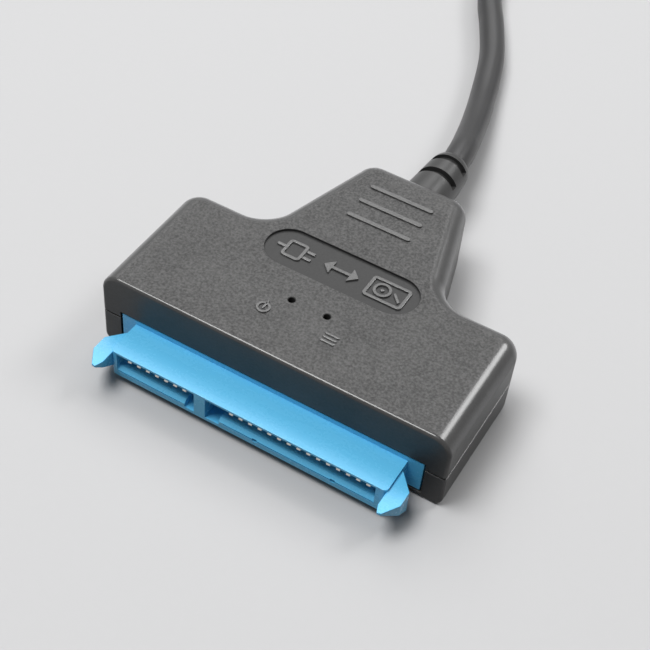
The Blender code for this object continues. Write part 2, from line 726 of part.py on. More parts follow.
def make_lead(jacket, wire_colours):
    """The cable from inside the neck to the plug, and the nine wires between it and the board."""
    wall_front = BACK_Y - WALL
    start = wall_front - FIT_GAP - RELIEF_FLANGE_THICKNESS - JACKET_SETBACK
    route = [
        Vector((0.0, start, CABLE_AXIS_HEIGHT)),
        Vector((0.0, BACK_Y, CABLE_AXIS_HEIGHT)),
        Vector((0.0, RELIEF_END_Y - CABLE_RADIUS, CABLE_AXIS_HEIGHT)),
        Vector((0.0, RELIEF_END_Y, CABLE_AXIS_HEIGHT)),
    ]
    route += [Vector(point) for point in LEAD_ROUTE]
    route += [
        Vector((PLUG_X, PLUG_Y + CABLE_DIAMETER, PLUG_AXIS_HEIGHT)),
        Vector((PLUG_X, PLUG_Y - GRIP_TAIL_LENGTH / 2, PLUG_AXIS_HEIGHT)),
    ]
    curve_tube("usb_cable", smooth_line(route, 64), CABLE_RADIUS, 2, jacket)

    pad_y = BOARD_BACK_Y - WIRE_SETBACK
    for k in range(WIRE_COUNT):
        share = k - (WIRE_COUNT - 1) / 2
        turn = share * WIRE_FAN / (WIRE_COUNT - 1)
        x = share * WIRE_PITCH
        low = BOARD_TOP + CONTACT_GAP + WIRE_DIAMETER / 2
        end = Vector((WIRE_RING * sin(turn), start - FIT_GAP, CABLE_AXIS_HEIGHT - WIRE_RING * cos(turn)))
        route = [
            Vector((x, pad_y - 2 * WIRE_SETBACK, low)),
            Vector((x, pad_y, low)),
            Vector(((x + end.x) / 2, (pad_y + end.y) / 2, (low + end.z) / 2)),
            Vector((end.x, end.y - WIRE_SETBACK / 2, end.z)),
            end,
        ]
        colour = wire_colours[k % len(wire_colours)]
        curve_tube("lead_wire_%d" % (k + 1), smooth_line(route, 10), WIRE_DIAMETER / 2, 1, colour)


def plug_ring(half_width, half_height, radius, y):
    outline = rounded([
        (half_width, -half_height, radius), (half_width, half_height, radius),
        (-half_width, half_height, radius), (-half_width, -half_height, radius),
    ], steps=4)
    return [(PLUG_X + x, y, PLUG_AXIS_HEIGHT + z) for x, z in outline]


def make_plug(jacket, steel, tongue_plastic, contact_metal):
    """The USB plug at the lead's end. It points along -Y."""
    tail_front = PLUG_Y - GRIP_TAIL_LENGTH
    front = tail_front - GRIP_BODY_LENGTH
    half_width = GRIP_BODY_WIDTH / 2
    half_height = GRIP_BODY_HEIGHT / 2
    tail = GRIP_TAIL_RADIUS
    shoulder = (half_height - tail) * 1.6
    bm = bmesh.new()
    loft(bm, [
        plug_ring(tail * 0.94, tail * 0.94, tail * 0.85, PLUG_Y),
        plug_ring(tail, tail, tail * 0.9, PLUG_Y - tail * 0.12),
        plug_ring(tail * 1.05, tail * 1.05, tail * 0.9, tail_front),
        plug_ring(half_width * 0.86, half_height * 0.9, half_height * 0.5, tail_front - shoulder * 0.55),
        plug_ring(half_width, half_height, half_height * 0.5, tail_front - shoulder * 1.5),
        plug_ring(half_width, half_height, half_height * 0.5, front + FRONT_CORNER),
        plug_ring(half_width - FRONT_CORNER, half_height - FRONT_CORNER, half_height * 0.45, front),
    ])
    grip = new_object("plug_overmould", bm, jacket)
    hollow = bmesh.new()
    sides = 24
    radius = CABLE_RADIUS + BORE_GAP
    loft(hollow, [
        [
            (PLUG_X + radius * cos(2 * pi * k / sides), y, PLUG_AXIS_HEIGHT + radius * sin(2 * pi * k / sides))
            for k in range(sides)
        ]
        for y in (PLUG_Y - GRIP_TAIL_LENGTH / 2 - FIT_GAP, PLUG_Y + WALL)
    ])
    wide = PLUG_SHELL_WIDTH / 2
    tall = PLUG_SHELL_HEIGHT / 2
    loft(hollow, [
        plug_ring(wide + FIT_GAP, tall + FIT_GAP, PLUG_SHELL_CORNER + FIT_GAP, y)
        for y in (front + PLUG_SHELL_SEAT + FIT_GAP, front - WALL)
    ])
    boolean(grip, new_object("plug_hollow_tool", hollow), "DIFFERENCE")

    mouth = front - PLUG_SHELL_REACH
    seat = front + PLUG_SHELL_SEAT
    sheet = PLUG_SHELL_THICKNESS
    bm = bmesh.new()
    rings = [
        plug_ring(wide, tall, PLUG_SHELL_CORNER, mouth),
        plug_ring(wide, tall, PLUG_SHELL_CORNER, seat),
        plug_ring(wide - sheet, tall - sheet, PLUG_SHELL_CORNER - sheet, seat),
        plug_ring(wide - sheet, tall - sheet, PLUG_SHELL_CORNER - sheet, mouth),
    ]
    made = [add_ring(bm, ring) for ring in rings]
    for first, second in zip(made, made[1:] + made[:1]):
        join_rings(bm, first, second)
    shell = new_object("plug_shell", bm, steel)
    windows = bmesh.new()
    for side in (-1, 1):
        x = PLUG_X + side * LATCH_SPACING / 2
        y = mouth + LATCH_BACK
        box(
            windows,
            (x - LATCH_WINDOW / 2, y - LATCH_WINDOW / 2, PLUG_AXIS_HEIGHT - 2 * tall),
            (x + LATCH_WINDOW / 2, y + LATCH_WINDOW / 2, PLUG_AXIS_HEIGHT + 2 * tall),
        )
    boolean(shell, new_object("latch_tool", windows), "DIFFERENCE")

    # The insulator fills the shell's back and reaches forward as a tongue against its roof
    inner_wide = wide - sheet - CONTACT_GAP
    inner_tall = tall - sheet - CONTACT_GAP
    bm = bmesh.new()
    low = PLUG_AXIS_HEIGHT - inner_tall
    high = PLUG_AXIS_HEIGHT + inner_tall
    step_y = seat - TONGUE_BLOCK_LENGTH
    tongue_y = mouth + TONGUE_FRONT_GAP
    profile = [
        (seat, low), (seat, high), (tongue_y, high), (tongue_y, high - TONGUE_THICKNESS),
        (step_y, high - TONGUE_THICKNESS), (step_y, low),
    ]
    loft(bm, [[(PLUG_X + x, y, z) for y, z in profile] for x in (-inner_wide, inner_wide)])
    new_object("plug_tongue", bm, tongue_plastic, smooth=False)
    under = high - TONGUE_THICKNESS - CONTACT_GAP
    for k in range(PAD_COUNT):
        x = PLUG_X + (k - (PAD_COUNT - 1) / 2) * PAD_PITCH
        block(
            "usb_contact_%d" % (k + 1),
            (PAD_WIDTH, PAD_LENGTH, PAD_THICKNESS),
            x, tongue_y + CONTACT_GAP + PAD_LENGTH / 2, under - PAD_THICKNESS, contact_metal,
        )
    for k in range(FAST_PAD_COUNT):
        x = PLUG_X + (k - (FAST_PAD_COUNT - 1) / 2) * FAST_PAD_PITCH
        block(
            "usb_fast_contact_%d" % (k + 1),
            (FAST_PAD_WIDTH, FAST_PAD_LENGTH, PAD_THICKNESS),
            x, mouth + FAST_PAD_BACK, under - PAD_THICKNESS, contact_metal,
        )


for old in list(bpy.data.objects):
    bpy.data.objects.remove(old, do_unlink=True)

black_plastic = material("black_plastic", (0.060, 0.060, 0.062), 0.55)
blue_plastic = material("blue_plastic", (0.020, 0.300, 0.750), 0.35)
soft_black = material("soft_black", (0.035, 0.035, 0.036), 0.55)
gold = material("gold", (0.850, 0.650, 0.300), 0.25, 1.0)
steel = material("steel", (0.620, 0.620, 0.640), 0.25, 1.0)
laminate = material("laminate", (0.010, 0.140, 0.060), 0.40)
epoxy = material("epoxy", (0.020, 0.020, 0.022), 0.50)
tin = material("tin", (0.550, 0.550, 0.560), 0.30, 1.0)
ferrite = material("ferrite", (0.060, 0.055, 0.055), 0.70)
clear = material("clear", (0.700, 0.700, 0.650), 0.20)
wires = [
    material("wire_red", (0.600, 0.030, 0.020), 0.40),
    material("wire_white", (0.700, 0.700, 0.680), 0.40),
    material("wire_green", (0.030, 0.350, 0.080), 0.40),
    material("wire_black", (0.020, 0.020, 0.020), 0.40),
    material("wire_blue", (0.030, 0.120, 0.550), 0.40),
    material("wire_yellow", (0.700, 0.550, 0.050), 0.40),
]

make_shells(black_plastic)
make_receptacle(blue_plastic, gold)
make_board(laminate, epoxy, tin, ferrite, clear)
make_strain_relief(soft_black)
make_lead(soft_black, wires)
make_plug(soft_black, steel, blue_plastic, gold)
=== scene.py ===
from math import cos, sin, tan, pi, radians

import bmesh
import bpy
from mathutils import Matrix, Vector


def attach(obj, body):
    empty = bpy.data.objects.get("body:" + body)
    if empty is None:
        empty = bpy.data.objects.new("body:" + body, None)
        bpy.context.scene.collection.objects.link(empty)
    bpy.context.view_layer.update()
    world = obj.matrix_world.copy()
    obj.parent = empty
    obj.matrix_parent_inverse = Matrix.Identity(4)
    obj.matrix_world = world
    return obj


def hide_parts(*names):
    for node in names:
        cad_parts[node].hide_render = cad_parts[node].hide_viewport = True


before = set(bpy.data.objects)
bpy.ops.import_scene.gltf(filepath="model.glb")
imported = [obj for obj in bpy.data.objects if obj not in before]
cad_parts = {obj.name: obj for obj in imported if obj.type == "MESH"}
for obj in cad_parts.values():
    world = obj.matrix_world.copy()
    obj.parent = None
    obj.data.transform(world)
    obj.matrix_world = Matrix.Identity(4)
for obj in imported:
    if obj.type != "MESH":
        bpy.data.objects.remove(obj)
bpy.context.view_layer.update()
mm = 0.001
print("frame loaded")

# Camera: the photograph's own viewing angle
cameraView = {
    "turn": radians(26.0956),
    "rise": radians(46.878),
    "roll": radians(5.8892),
    "place": (0.048055, -0.103426, 0.121017),
    "lens": 73.684,
    "shift": (0.00096, -0.00081),
}


def makeCamera(view):
    data = bpy.data.cameras.new("camera")
    data.sensor_width = 36
    data.lens = view["lens"]
    data.shift_x, data.shift_y = view["shift"]
    data.clip_start = 0.001
    data.clip_end = 20
    camera = bpy.data.objects.new("camera", data)
    bpy.context.scene.collection.objects.link(camera)
    camera.matrix_world = (
        Matrix.Translation(view["place"])
        @ Matrix.Rotation(view["turn"], 4, "Z")
        @ Matrix.Rotation(pi / 2 - view["rise"], 4, "X")
        @ Matrix.Rotation(view["roll"], 4, "Z")
    )
    bpy.context.scene.camera = camera


makeCamera(cameraView)
print("camera placed")


# Shader values that Python's operators work on
class Value:
    def __init__(self, finish, socket):
        self.finish = finish
        self.socket = socket

    def maths(self, operation, *terms):
        return self.finish.maths(operation, *terms)

    def __add__(self, other):
        return self.maths("ADD", self, other)

    def __sub__(self, other):
        return self.maths("SUBTRACT", self, other)

    def __rsub__(self, other):
        return self.maths("SUBTRACT", other, self)

    def __mul__(self, other):
        return self.maths("MULTIPLY", self, other)

    def __gt__(self, other):
        return self.maths("GREATER_THAN", self, other)

    __radd__ = __add__
    __rmul__ = __mul__


class Finish:
    def __init__(self, name, fixed):
        self.material = bpy.data.materials.new(name)
        self.material.use_nodes = True
        self.tree = self.material.node_tree
        self.shader = self.tree.nodes["Principled BSDF"]
        for socket, value in fixed.items():
            self.feed(self.shader.inputs[socket], value)

    def feed(self, socket, value):
        if isinstance(value, Value):
            self.tree.links.new(value.socket, socket)
        elif isinstance(value, tuple) and len(value) == 3 and socket.type == "RGBA":
            socket.default_value = (*value, 1.0)
        else:
            socket.default_value = value

    def node(self, kind, settings, *values, output=0, **named):
        made = self.tree.nodes.new(kind)
        for key, value in settings.items():
            if key == "stops":
                ramp = made.color_ramp
                while len(ramp.elements) < len(value):
                    ramp.elements.new(1.0)
                for stop, (place, shade) in zip(ramp.elements, value):
                    stop.position = place
                    stop.color = (shade, shade, shade, 1.0)
            else:
                setattr(made, key, value)
        for socket, value in zip(made.inputs, values):
            self.feed(socket, value)
        for name, value in named.items():
            self.feed(made.inputs[name.replace("_", " ")], value)
        return Value(self, made.outputs[output])

    def maths(self, operation, *terms):
        return self.node("ShaderNodeMath", {"operation": operation}, *terms)

    def place(self, **turn):
        here = self.node("ShaderNodeTexCoord", {}, output="Object")
        return self.node("ShaderNodeMapping", {}, here, **turn) if turn else here

    def noise(self, vector, scale, detail=2.0, rough=0.5):
        return self.node("ShaderNodeTexNoise", {}, Vector=vector, Scale=scale, Detail=detail, Roughness=rough)

    def ramp(self, value, *stops):
        return self.node("ShaderNodeValToRGB", {"stops": stops}, value)

    def blend(self, share, first, second):
        made = self.tree.nodes.new("ShaderNodeMix")
        made.data_type = "RGBA"
        for socket, value in zip((made.inputs[0], made.inputs[6], made.inputs[7]), (share, first, second)):
            self.feed(socket, value)
        return Value(self, made.outputs[2])

    def dress(self, **varying):
        for name, value in varying.items():
            self.feed(self.shader.inputs[name.replace("_", " ")], value)

    def relief(self, height, strength, distance):
        bump = self.node("ShaderNodeBump", {}, Height=height, Strength=strength, Distance=distance)
        self.feed(self.shader.inputs["Normal"], bump)
        return self


# Moulded black casing plastic: spark-eroded grain on its flat faces, polished along its edges and sides
def casingPlastic(name, dark, light, roughness, grain, shine, polish):
    made = Finish(name, {"IOR": 1.5, "Specular IOR Level": shine, "Coat Roughness": 0.20, "Coat IOR": 1.5})
    place = made.place()
    normal = made.node("ShaderNodeTexCoord", {}, output="Normal")
    facing = made.node("ShaderNodeSeparateXYZ", {}, normal, output="Z")
    flat = made.ramp(made.maths("ABSOLUTE", facing), (0.95, 0.0), (0.998, 1.0))
    edge = made.ramp(facing, (0.12, 0.0), (0.45, 1.0), (0.97, 1.0), (0.999, 0.0))
    fine = made.noise(place, 3300, 3.0, 0.6)
    pits = made.node("ShaderNodeTexVoronoi", {"feature": "SMOOTH_F1"}, Vector=place, Scale=2900.0)
    drift = made.noise(place, 150, 3.0)
    speck = made.ramp(fine, (0.35, 0.0), (0.68, 1.0))
    smooth, rough = roughness
    made.dress(
        Base_Color=made.blend(speck * (flat * 0.6 + 0.1) + drift * 0.4, dark, light),
        Roughness=smooth + flat * (rough - smooth) + (drift - 0.5) * 0.10 + (fine - 0.5) * 0.10,
        Coat_Weight=edge * polish,
    )
    return made.relief((fine * 0.7 + pits * 0.5) * (flat * 0.93 + 0.07), grain, 0.00017).material


# Glossy blue moulded plastic with faint flow marks
def mouldedBlue(name, deep, pale, roughness):
    made = Finish(name, {"IOR": 1.52})
    flow = made.noise(made.place(Scale=(1.0, 3.5, 3.5)), 260, 3.0)
    fine = made.noise(made.place(), 2600, 2.0)
    made.dress(
        Base_Color=made.blend(flow, deep, pale),
        Roughness=roughness + (flow - 0.5) * 0.10 + (fine - 0.5) * 0.06,
    )
    return made.relief(fine * 0.7 + flow * 0.3, 0.07, 0.00002).material


# Flexible black jacket: smooth, a little glossy, faintly uneven along its length
def flexiblePlastic(name, dark, light, roughness, grain):
    made = Finish(name, {"IOR": 1.48})
    place = made.place()
    long = made.noise(place, 190, 3.0)
    fine = made.noise(place, 3300, 3.0, 0.6)
    made.dress(
        Base_Color=made.blend(long * 0.6 + fine * 0.4, dark, light),
        Roughness=roughness + (long - 0.5) * 0.14 + (fine - 0.5) * 0.10,
    )
    return made.relief(fine * 0.6 + long * 0.8, grain, 0.00006).material


# Plated or bare metal with drawn lines along one way
def drawnMetal(name, dull, bright, roughness, lines):
    made = Finish(name, {"Metallic": 1.0})
    streak = made.noise(made.place(Scale=lines), 1500, 3.0, 0.65)
    cloud = made.noise(made.place(), 420, 2.0)
    made.dress(
        Base_Color=made.blend(streak * 0.5 + cloud * 0.5, dull, bright),
        Roughness=roughness + (streak - 0.5) * 0.08 + (cloud - 0.5) * 0.05,
    )
    return made.relief(streak, 0.06, 0.00001).material


# Green solder mask over copper tracks
def solderMask(name):
    made = Finish(name, {"IOR": 1.5})
    place = made.place()
    white, black = (1, 1, 1), (0, 0, 0)
    tracks = made.node(
        "ShaderNodeTexBrick", {}, Vector=place, Scale=420.0, Color1=white, Color2=white, Mortar=black,
    )
    cloud = made.noise(place, 300, 2.0)
    laid = made.ramp(tracks, (0.3, 0.0), (0.6, 1.0))
    made.dress(
        Base_Color=made.blend(laid * 0.7 + cloud * 0.3, (0.006, 0.075, 0.028), (0.012, 0.150, 0.060)),
        Roughness=0.38 + (cloud - 0.5) * 0.15,
    )
    return made.relief(laid, 0.3, 0.00003).material


# Moulded resin of the small components, and the wires' coloured insulation
def mouldedResin(name, dark, light, roughness):
    made = Finish(name, {"IOR": 1.5})
    place = made.place()
    fine = made.noise(place, 2400.0, 3.0, 0.6)
    cloud = made.noise(place, 2400.0 / 9, 2.0)
    made.dress(
        Base_Color=made.blend(fine * 0.5 + cloud * 0.5, dark, light),
        Roughness=roughness + (fine - 0.5) * 0.15,
    )
    return made.relief(fine, 0.25, 0.00003).material


finishes = {
    "casing": casingPlastic(
        "casing_plastic", (0.018, 0.018, 0.018), (0.118, 0.117, 0.116), (0.36, 0.46),
        grain=1.0, shine=0.28, polish=0.9,
    ),
    "panel": casingPlastic(
        "panel_plastic", (0.030, 0.030, 0.030), (0.040, 0.040, 0.040), (0.30, 0.40),
        grain=0.15, shine=0.22, polish=0.0,
    ),
    # Raised signs and grip bars: the same black plastic, its colour painted lighter as a painted highlight on
    # their tops and edges
    "raised": casingPlastic(
        "raised_plastic_painted_highlight", (0.070, 0.070, 0.070), (0.150, 0.149, 0.148), (0.30, 0.38),
        grain=0.4, shine=0.40, polish=1.0,
    ),
    "blue": mouldedBlue("blue_plastic", (0.112, 0.530, 0.860), (0.126, 0.550, 0.880), 0.27),
    "jacket": flexiblePlastic("soft_black", (0.020, 0.020, 0.021), (0.034, 0.034, 0.035), 0.36, 0.22),
    "sleeve": flexiblePlastic("soft_black_sleeve", (0.028, 0.028, 0.028), (0.044, 0.044, 0.044), 0.34, 0.28),
    "gold": drawnMetal("contact_gold", (0.60, 0.57, 0.52), (0.78, 0.76, 0.72), 0.26, (1.0, 0.1, 1.0)),
    "steel": drawnMetal("plug_steel", (0.58, 0.58, 0.59), (0.68, 0.68, 0.69), 0.24, (1.0, 0.08, 1.0)),
    "tin": drawnMetal("tinned_can", (0.50, 0.50, 0.51), (0.68, 0.68, 0.68), 0.30, (1.0, 1.0, 1.0)),
    "board": solderMask("board_laminate"),
    "chip": mouldedResin("chip_epoxy", (0.012, 0.012, 0.013), (0.026, 0.026, 0.028), 0.52),
    "ferrite": mouldedResin("coil_ferrite", (0.040, 0.037, 0.037), (0.075, 0.070, 0.068), 0.72),
    "tantalum": mouldedResin("capacitor_resin", (0.42, 0.24, 0.04), (0.58, 0.34, 0.07), 0.45),
    "lens": mouldedResin("lamp_lens", (0.62, 0.62, 0.56), (0.78, 0.78, 0.72), 0.20),
    "wire_red": mouldedResin("wire_red", (0.42, 0.015, 0.010), (0.60, 0.030, 0.022), 0.36),
    "wire_white": mouldedResin("wire_white", (0.60, 0.60, 0.57), (0.76, 0.76, 0.73), 0.36),
    "wire_green": mouldedResin("wire_green", (0.020, 0.24, 0.05), (0.035, 0.36, 0.09), 0.36),
    "wire_black": mouldedResin("wire_black", (0.014, 0.014, 0.014), (0.028, 0.028, 0.028), 0.36),
    "wire_blue": mouldedResin("wire_blue", (0.018, 0.080, 0.40), (0.035, 0.130, 0.58), 0.36),
    "wire_yellow": mouldedResin("wire_yellow", (0.56, 0.42, 0.03), (0.74, 0.58, 0.06), 0.36),
}
print("finishes made:", len(finishes))


# Modelling helpers: sizes are in millimetres, in the part's own frame
def point(x, y, z=0.0):
    return Vector((x, y, z)) * mm


def meshObject(name, bm, finish=None):
    bmesh.ops.remove_doubles(bm, verts=bm.verts, dist=2e-7)
    bmesh.ops.recalc_face_normals(bm, faces=bm.faces)
    mesh = bpy.data.meshes.new(name)
    bm.to_mesh(mesh)
    bm.free()
    if finish:
        mesh.materials.append(finishes[finish])
    made = bpy.data.objects.new(name, mesh)
    bpy.context.scene.collection.objects.link(made)
    return made


def freeze(target):
    bpy.context.view_layer.update()
    seen = target.evaluated_get(bpy.context.evaluated_depsgraph_get())
    mesh = bpy.data.meshes.new_from_object(seen)
    target.modifiers.clear()
    target.data = mesh


def carve(target, *steps):
    tools = []
    for operation, bm, *finish in steps:
        tool = meshObject("tool", bm, *finish)
        step = target.modifiers.new("carve", "BOOLEAN")
        step.operation = operation
        step.solver = "EXACT"
        step.material_mode = "TRANSFER" if finish else "INDEX"
        step.object = tool
        tools.append(tool)
    freeze(target)
    for tool in tools:
        bpy.data.objects.remove(tool, do_unlink=True)


def ready(target, slot, *nodes, angle=30, weighted=True):
    bm = edit(target)
    bmesh.ops.dissolve_degenerate(bm, dist=2e-6, edges=bm.edges)
    putBack(target, bm)
    target.data.shade_smooth()
    target.data.set_sharp_from_angle(angle=radians(angle))
    if weighted:
        step = target.modifiers.new("even_shading", "WEIGHTED_NORMAL")
        step.keep_sharp = True
    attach(target, "root")
    if nodes:
        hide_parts(*nodes)
    return target


def edit(target):
    bm = bmesh.new()
    bm.from_mesh(target.data)
    return bm


def putBack(target, bm):
    bmesh.ops.recalc_face_normals(bm, faces=bm.faces)
    bm.to_mesh(target.data)
    bm.free()


def edgesWhere(bm, test):
    return [edge for edge in bm.edges if all(test(vert.co / mm) for vert in edge.verts)]


def soften(bm, edges, radius, segments=2):
    bmesh.ops.bevel(
        bm, geom=edges, offset=radius * mm, offset_type="OFFSET", segments=segments,
        profile=0.5, affect="EDGES", clamp_overlap=True, material=-1,
    )


def plate(corners, segments=8):
    # a flat face through (x, y, corner radius) points
    bm = bmesh.new()
    verts = [bm.verts.new(point(x, y)) for x, y, _ in corners]
    bm.faces.new(verts)
    for vert, (_, _, radius) in zip(verts, corners):
        if radius:
            ways = [(edge.other_vert(vert).co - vert.co).normalized() for edge in vert.link_edges]
            reach = radius * mm / tan(ways[0].angle(ways[1]) / 2)
            bmesh.ops.bevel(
                bm, geom=[vert], offset=reach, segments=segments, profile=0.5,
                affect="VERTICES", material=-1,
            )
    return bm


def closeHoles(bm):
    bmesh.ops.holes_fill(bm, edges=[edge for edge in bm.edges if edge.is_boundary], sides=0)
    bmesh.ops.recalc_face_normals(bm, faces=bm.faces)


def thicken(bm, low, high):
    # the flat face becomes a solid between two heights
    bmesh.ops.translate(bm, verts=bm.verts, vec=point(0, 0, low))
    made = bmesh.ops.extrude_face_region(bm, geom=bm.faces[:])
    risen = [item for item in made["geom"] if isinstance(item, bmesh.types.BMVert)]
    bmesh.ops.translate(bm, verts=risen, vec=point(0, 0, high - low))
    closeHoles(bm)
    return bm


def rectangle(x0, y0, x1, y1, radius):
    return [(x0, y0, radius), (x1, y0, radius), (x1, y1, radius), (x0, y1, radius)]


def block(low, high, edge=0.0, segments=2):
    bm = bmesh.new()
    bmesh.ops.create_cube(bm, size=1.0)
    bmesh.ops.scale(bm, verts=bm.verts, vec=point(*(b - a for a, b in zip(low, high))))
    bmesh.ops.translate(bm, verts=bm.verts, vec=point(*((a + b) / 2 for a, b in zip(low, high))))
    if edge:
        soften(bm, bm.edges[:], edge, segments)
    return bm


def rod(x, y, z0, z1, radius, top=None, sides=32):
    bm = bmesh.new()
    bmesh.ops.create_cone(
        bm, cap_ends=True, segments=sides, radius1=radius * mm,
        radius2=(radius if top is None else top) * mm, depth=(z1 - z0) * mm,
    )
    bmesh.ops.translate(bm, verts=bm.verts, vec=point(x, y, (z0 + z1) / 2))
    return bm


def spun(profile, height, sides=64, closed=True, shift=0.0):
    # a body turned about a line along Y, from (y, radius) points
    bm = bmesh.new()
    verts = [bm.verts.new(point(shift, y, height + radius)) for y, radius in profile]
    ends = verts[1:] + verts[:1] if closed else verts[1:]
    edges = [bm.edges.new(pair) for pair in zip(verts, ends)]
    bmesh.ops.spin(
        bm, geom=verts + edges, cent=point(shift, 0, height), axis=(0, 1, 0),
        angle=2 * pi, steps=sides, use_merge=True, use_duplicate=False,
    )
    bmesh.ops.remove_doubles(bm, verts=bm.verts, dist=1e-7)
    bmesh.ops.recalc_face_normals(bm, faces=bm.faces)
    return bm


# The lead: straight out of its sleeve, down to the table, and back on itself once
lead = {
    "diameter": 0.0039,
    "length": 0.200,
    "exit": (0.0, 0.02895, 0.0052),
    "points": 170,
    "roundness": 7,
    "fineness": 24,
    "route": [
        (0.0, 0.01275, 0.0052),
        (0.0, 0.01815, 0.0052),
        (0.0, 0.0270, 0.0052),
        (0.0, 0.02895, 0.0052),
        (-0.0005, 0.0330, 0.0049),
        (-0.0012, 0.0362, 0.0042),
        (-0.0027, 0.0424, 0.0031),
        (-0.0047, 0.0494, 0.0023),
        (-0.0078, 0.0589, 0.00205),
        (-0.0116, 0.0669, 0.00205),
        (-0.0150, 0.0733, 0.00205),
        (-0.0185, 0.0825, 0.00205),
        (-0.0208, 0.0960, 0.00205),
        (-0.0213, 0.1120, 0.00205),
        (-0.0208, 0.1280, 0.00205),
        (-0.0186, 0.1440, 0.00205),
        (-0.0118, 0.1570, 0.00205),
        (-0.0010, 0.1620, 0.0022),
        (0.0095, 0.1575, 0.0028),
        (0.0145, 0.1480, 0.0035),
        (0.0150, 0.1419, 0.0039),
        (0.0150, 0.1349, 0.0039),
    ],
}


def smoothLine(route, count, fineness):
    # evenly spaced points on a smooth curve through the route
    route = [Vector(place) for place in route]
    padded = [2 * route[0] - route[1]] + route + [2 * route[-1] - route[-2]]
    fine = []
    for a, b, c, d in zip(padded, padded[1:], padded[2:], padded[3:]):
        for k in range(fineness):
            t = k / fineness
            slope = c - a
            bend = 2 * a - 5 * b + 4 * c - d
            twist = 3 * b - a - 3 * c + d
            fine.append(b + (slope * t + bend * t**2 + twist * t**3) / 2)
    fine.append(route[-1])
    run = [0.0]
    for first, second in zip(fine, fine[1:]):
        run.append(run[-1] + (second - first).length)
    points, at = [], 0
    for k in range(count):
        want = run[-1] * k / (count - 1)
        while at < len(run) - 2 and run[at + 1] < want:
            at += 1
        share = (want - run[at]) / (run[at + 1] - run[at])
        points.append(fine[at].lerp(fine[at + 1], min(share, 1.0)))
    return points, run[-1]


def makeLead():
    points, length = smoothLine(lead["route"], lead["points"], lead["fineness"])
    data = bpy.data.curves.new("usb_lead", "CURVE")
    data.dimensions = "3D"
    data.bevel_depth = lead["diameter"] / 2
    data.bevel_resolution = lead["roundness"]
    data.use_fill_caps = True
    line = data.splines.new("POLY")
    line.points.add(len(points) - 1)
    for at, place in zip(line.points, points):
        at.co = (*place, 1.0)
    data.materials.append(finishes["jacket"])
    made = bpy.data.objects.new("usb_lead", data)
    bpy.context.scene.collection.objects.link(made)
    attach(made, "root")
    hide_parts("usb_cable")
    print("lead is %.1f mm long" % (length * 1000))
    return made


usbLead = makeLead()
print("lead laid")

# USB plug at the lead's end, pointing along -Y
plug = {
    "x": 15.0, "height": 3.9, "back": 138.0, "gap": 0.2,
    "body": (15.2, 7.6, 19.5), "corner": 1.9, "edge": 0.5, "backEdge": 1.6,
    "tail": 6.2, "tailRadius": 2.9, "tailRoot": 1.0, "tailFlare": 1.04, "bore": 2.15, "boreFrom": 2.9,
    "tailEnd": ((0.35, 0.99), (0.08, 0.93), (0.0, 0.84)),
    "rings": 3, "ringFirst": 1.1, "ringWidth": 0.8, "ringPitch": 1.7, "ringDepth": 0.42, "ringSlope": 0.12,
    "shell": (12.0, 4.5), "reach": 12.2, "seat": 5.0, "sheet": 0.3, "shellCorner": 0.6,
    "insideCorner": 0.3, "shellEdge": 0.08, "seam": (0.04, 0.12),
    "window": 2.2, "windowSpacing": 5.0, "windowBack": 5.4, "windowCorner": 0.2,
    "tongue": 1.8, "tongueGap": 0.1, "tongueBack": 0.6, "tongueEdge": 0.15,
    "block": 4.0, "blockDrop": 0.2, "blockEdge": 0.12,
}


def upright(bm, turnHeight):
    # a shape drawn flat stands up: its y becomes height and its height runs along Y
    bmesh.ops.rotate(bm, verts=bm.verts, cent=(0, 0, 0), matrix=Matrix.Rotation(pi / 2, 3, "X"))
    bmesh.ops.translate(bm, verts=bm.verts, vec=point(plug["x"], 0, turnHeight))
    bmesh.ops.recalc_face_normals(bm, faces=bm.faces)
    return bm


def barAlongY(width, tall, corner, front, back, segments=6):
    corners = rectangle(-width / 2, -tall / 2, width / 2, tall / 2, corner)
    return upright(thicken(plate(corners, segments), -back, -front), plug["height"])


def makeGrip():
    width, tall, length = plug["body"]
    neck = plug["back"] - plug["tail"]
    front = neck - length
    bm = barAlongY(width, tall, plug["corner"], front, neck)
    soften(bm, edgesWhere(bm, lambda at: abs(at.y - front) < 1e-3), plug["edge"], 4)
    soften(bm, edgesWhere(bm, lambda at: abs(at.y - neck) < 1e-3), plug["backEdge"], 6)
    grip = meshObject("plug_grip", bm, "jacket")
    radius, root, back = plug["tailRadius"], neck - plug["tailRoot"], plug["back"]
    half, deep, slope = plug["ringWidth"] / 2, radius - plug["ringDepth"], plug["ringSlope"]
    outline = [(root, 0.0), (root, radius * plug["tailFlare"])]
    for k in range(plug["rings"]):
        y = neck + plug["ringFirst"] + k * plug["ringPitch"]
        outline += [(y - half, radius), (y - half + slope, deep)]
        outline += [(y + half - slope, deep), (y + half, radius)]
    outline += [(back - ahead, radius * share) for ahead, share in plug["tailEnd"]] + [(back, 0.0)]
    tail = spun(outline, plug["height"], 48, closed=False, shift=plug["x"])
    start, end, wide = neck + plug["boreFrom"], back + 1.0, plug["bore"]
    hole = [(start, 0.0), (start, wide), (end, wide), (end, 0.0)]
    bore = spun(hole, plug["height"], 32, closed=False, shift=plug["x"])
    mouth = barAlongY(
        plug["shell"][0] + 2 * plug["gap"], plug["shell"][1] + 2 * plug["gap"],
        plug["shellCorner"] + plug["gap"], front - 2, front + plug["seat"] + plug["gap"],
    )
    carve(grip, ("UNION", tail), ("DIFFERENCE", bore), ("DIFFERENCE", mouth))
    return ready(grip, "soft_black", "plug_overmould", angle=32)


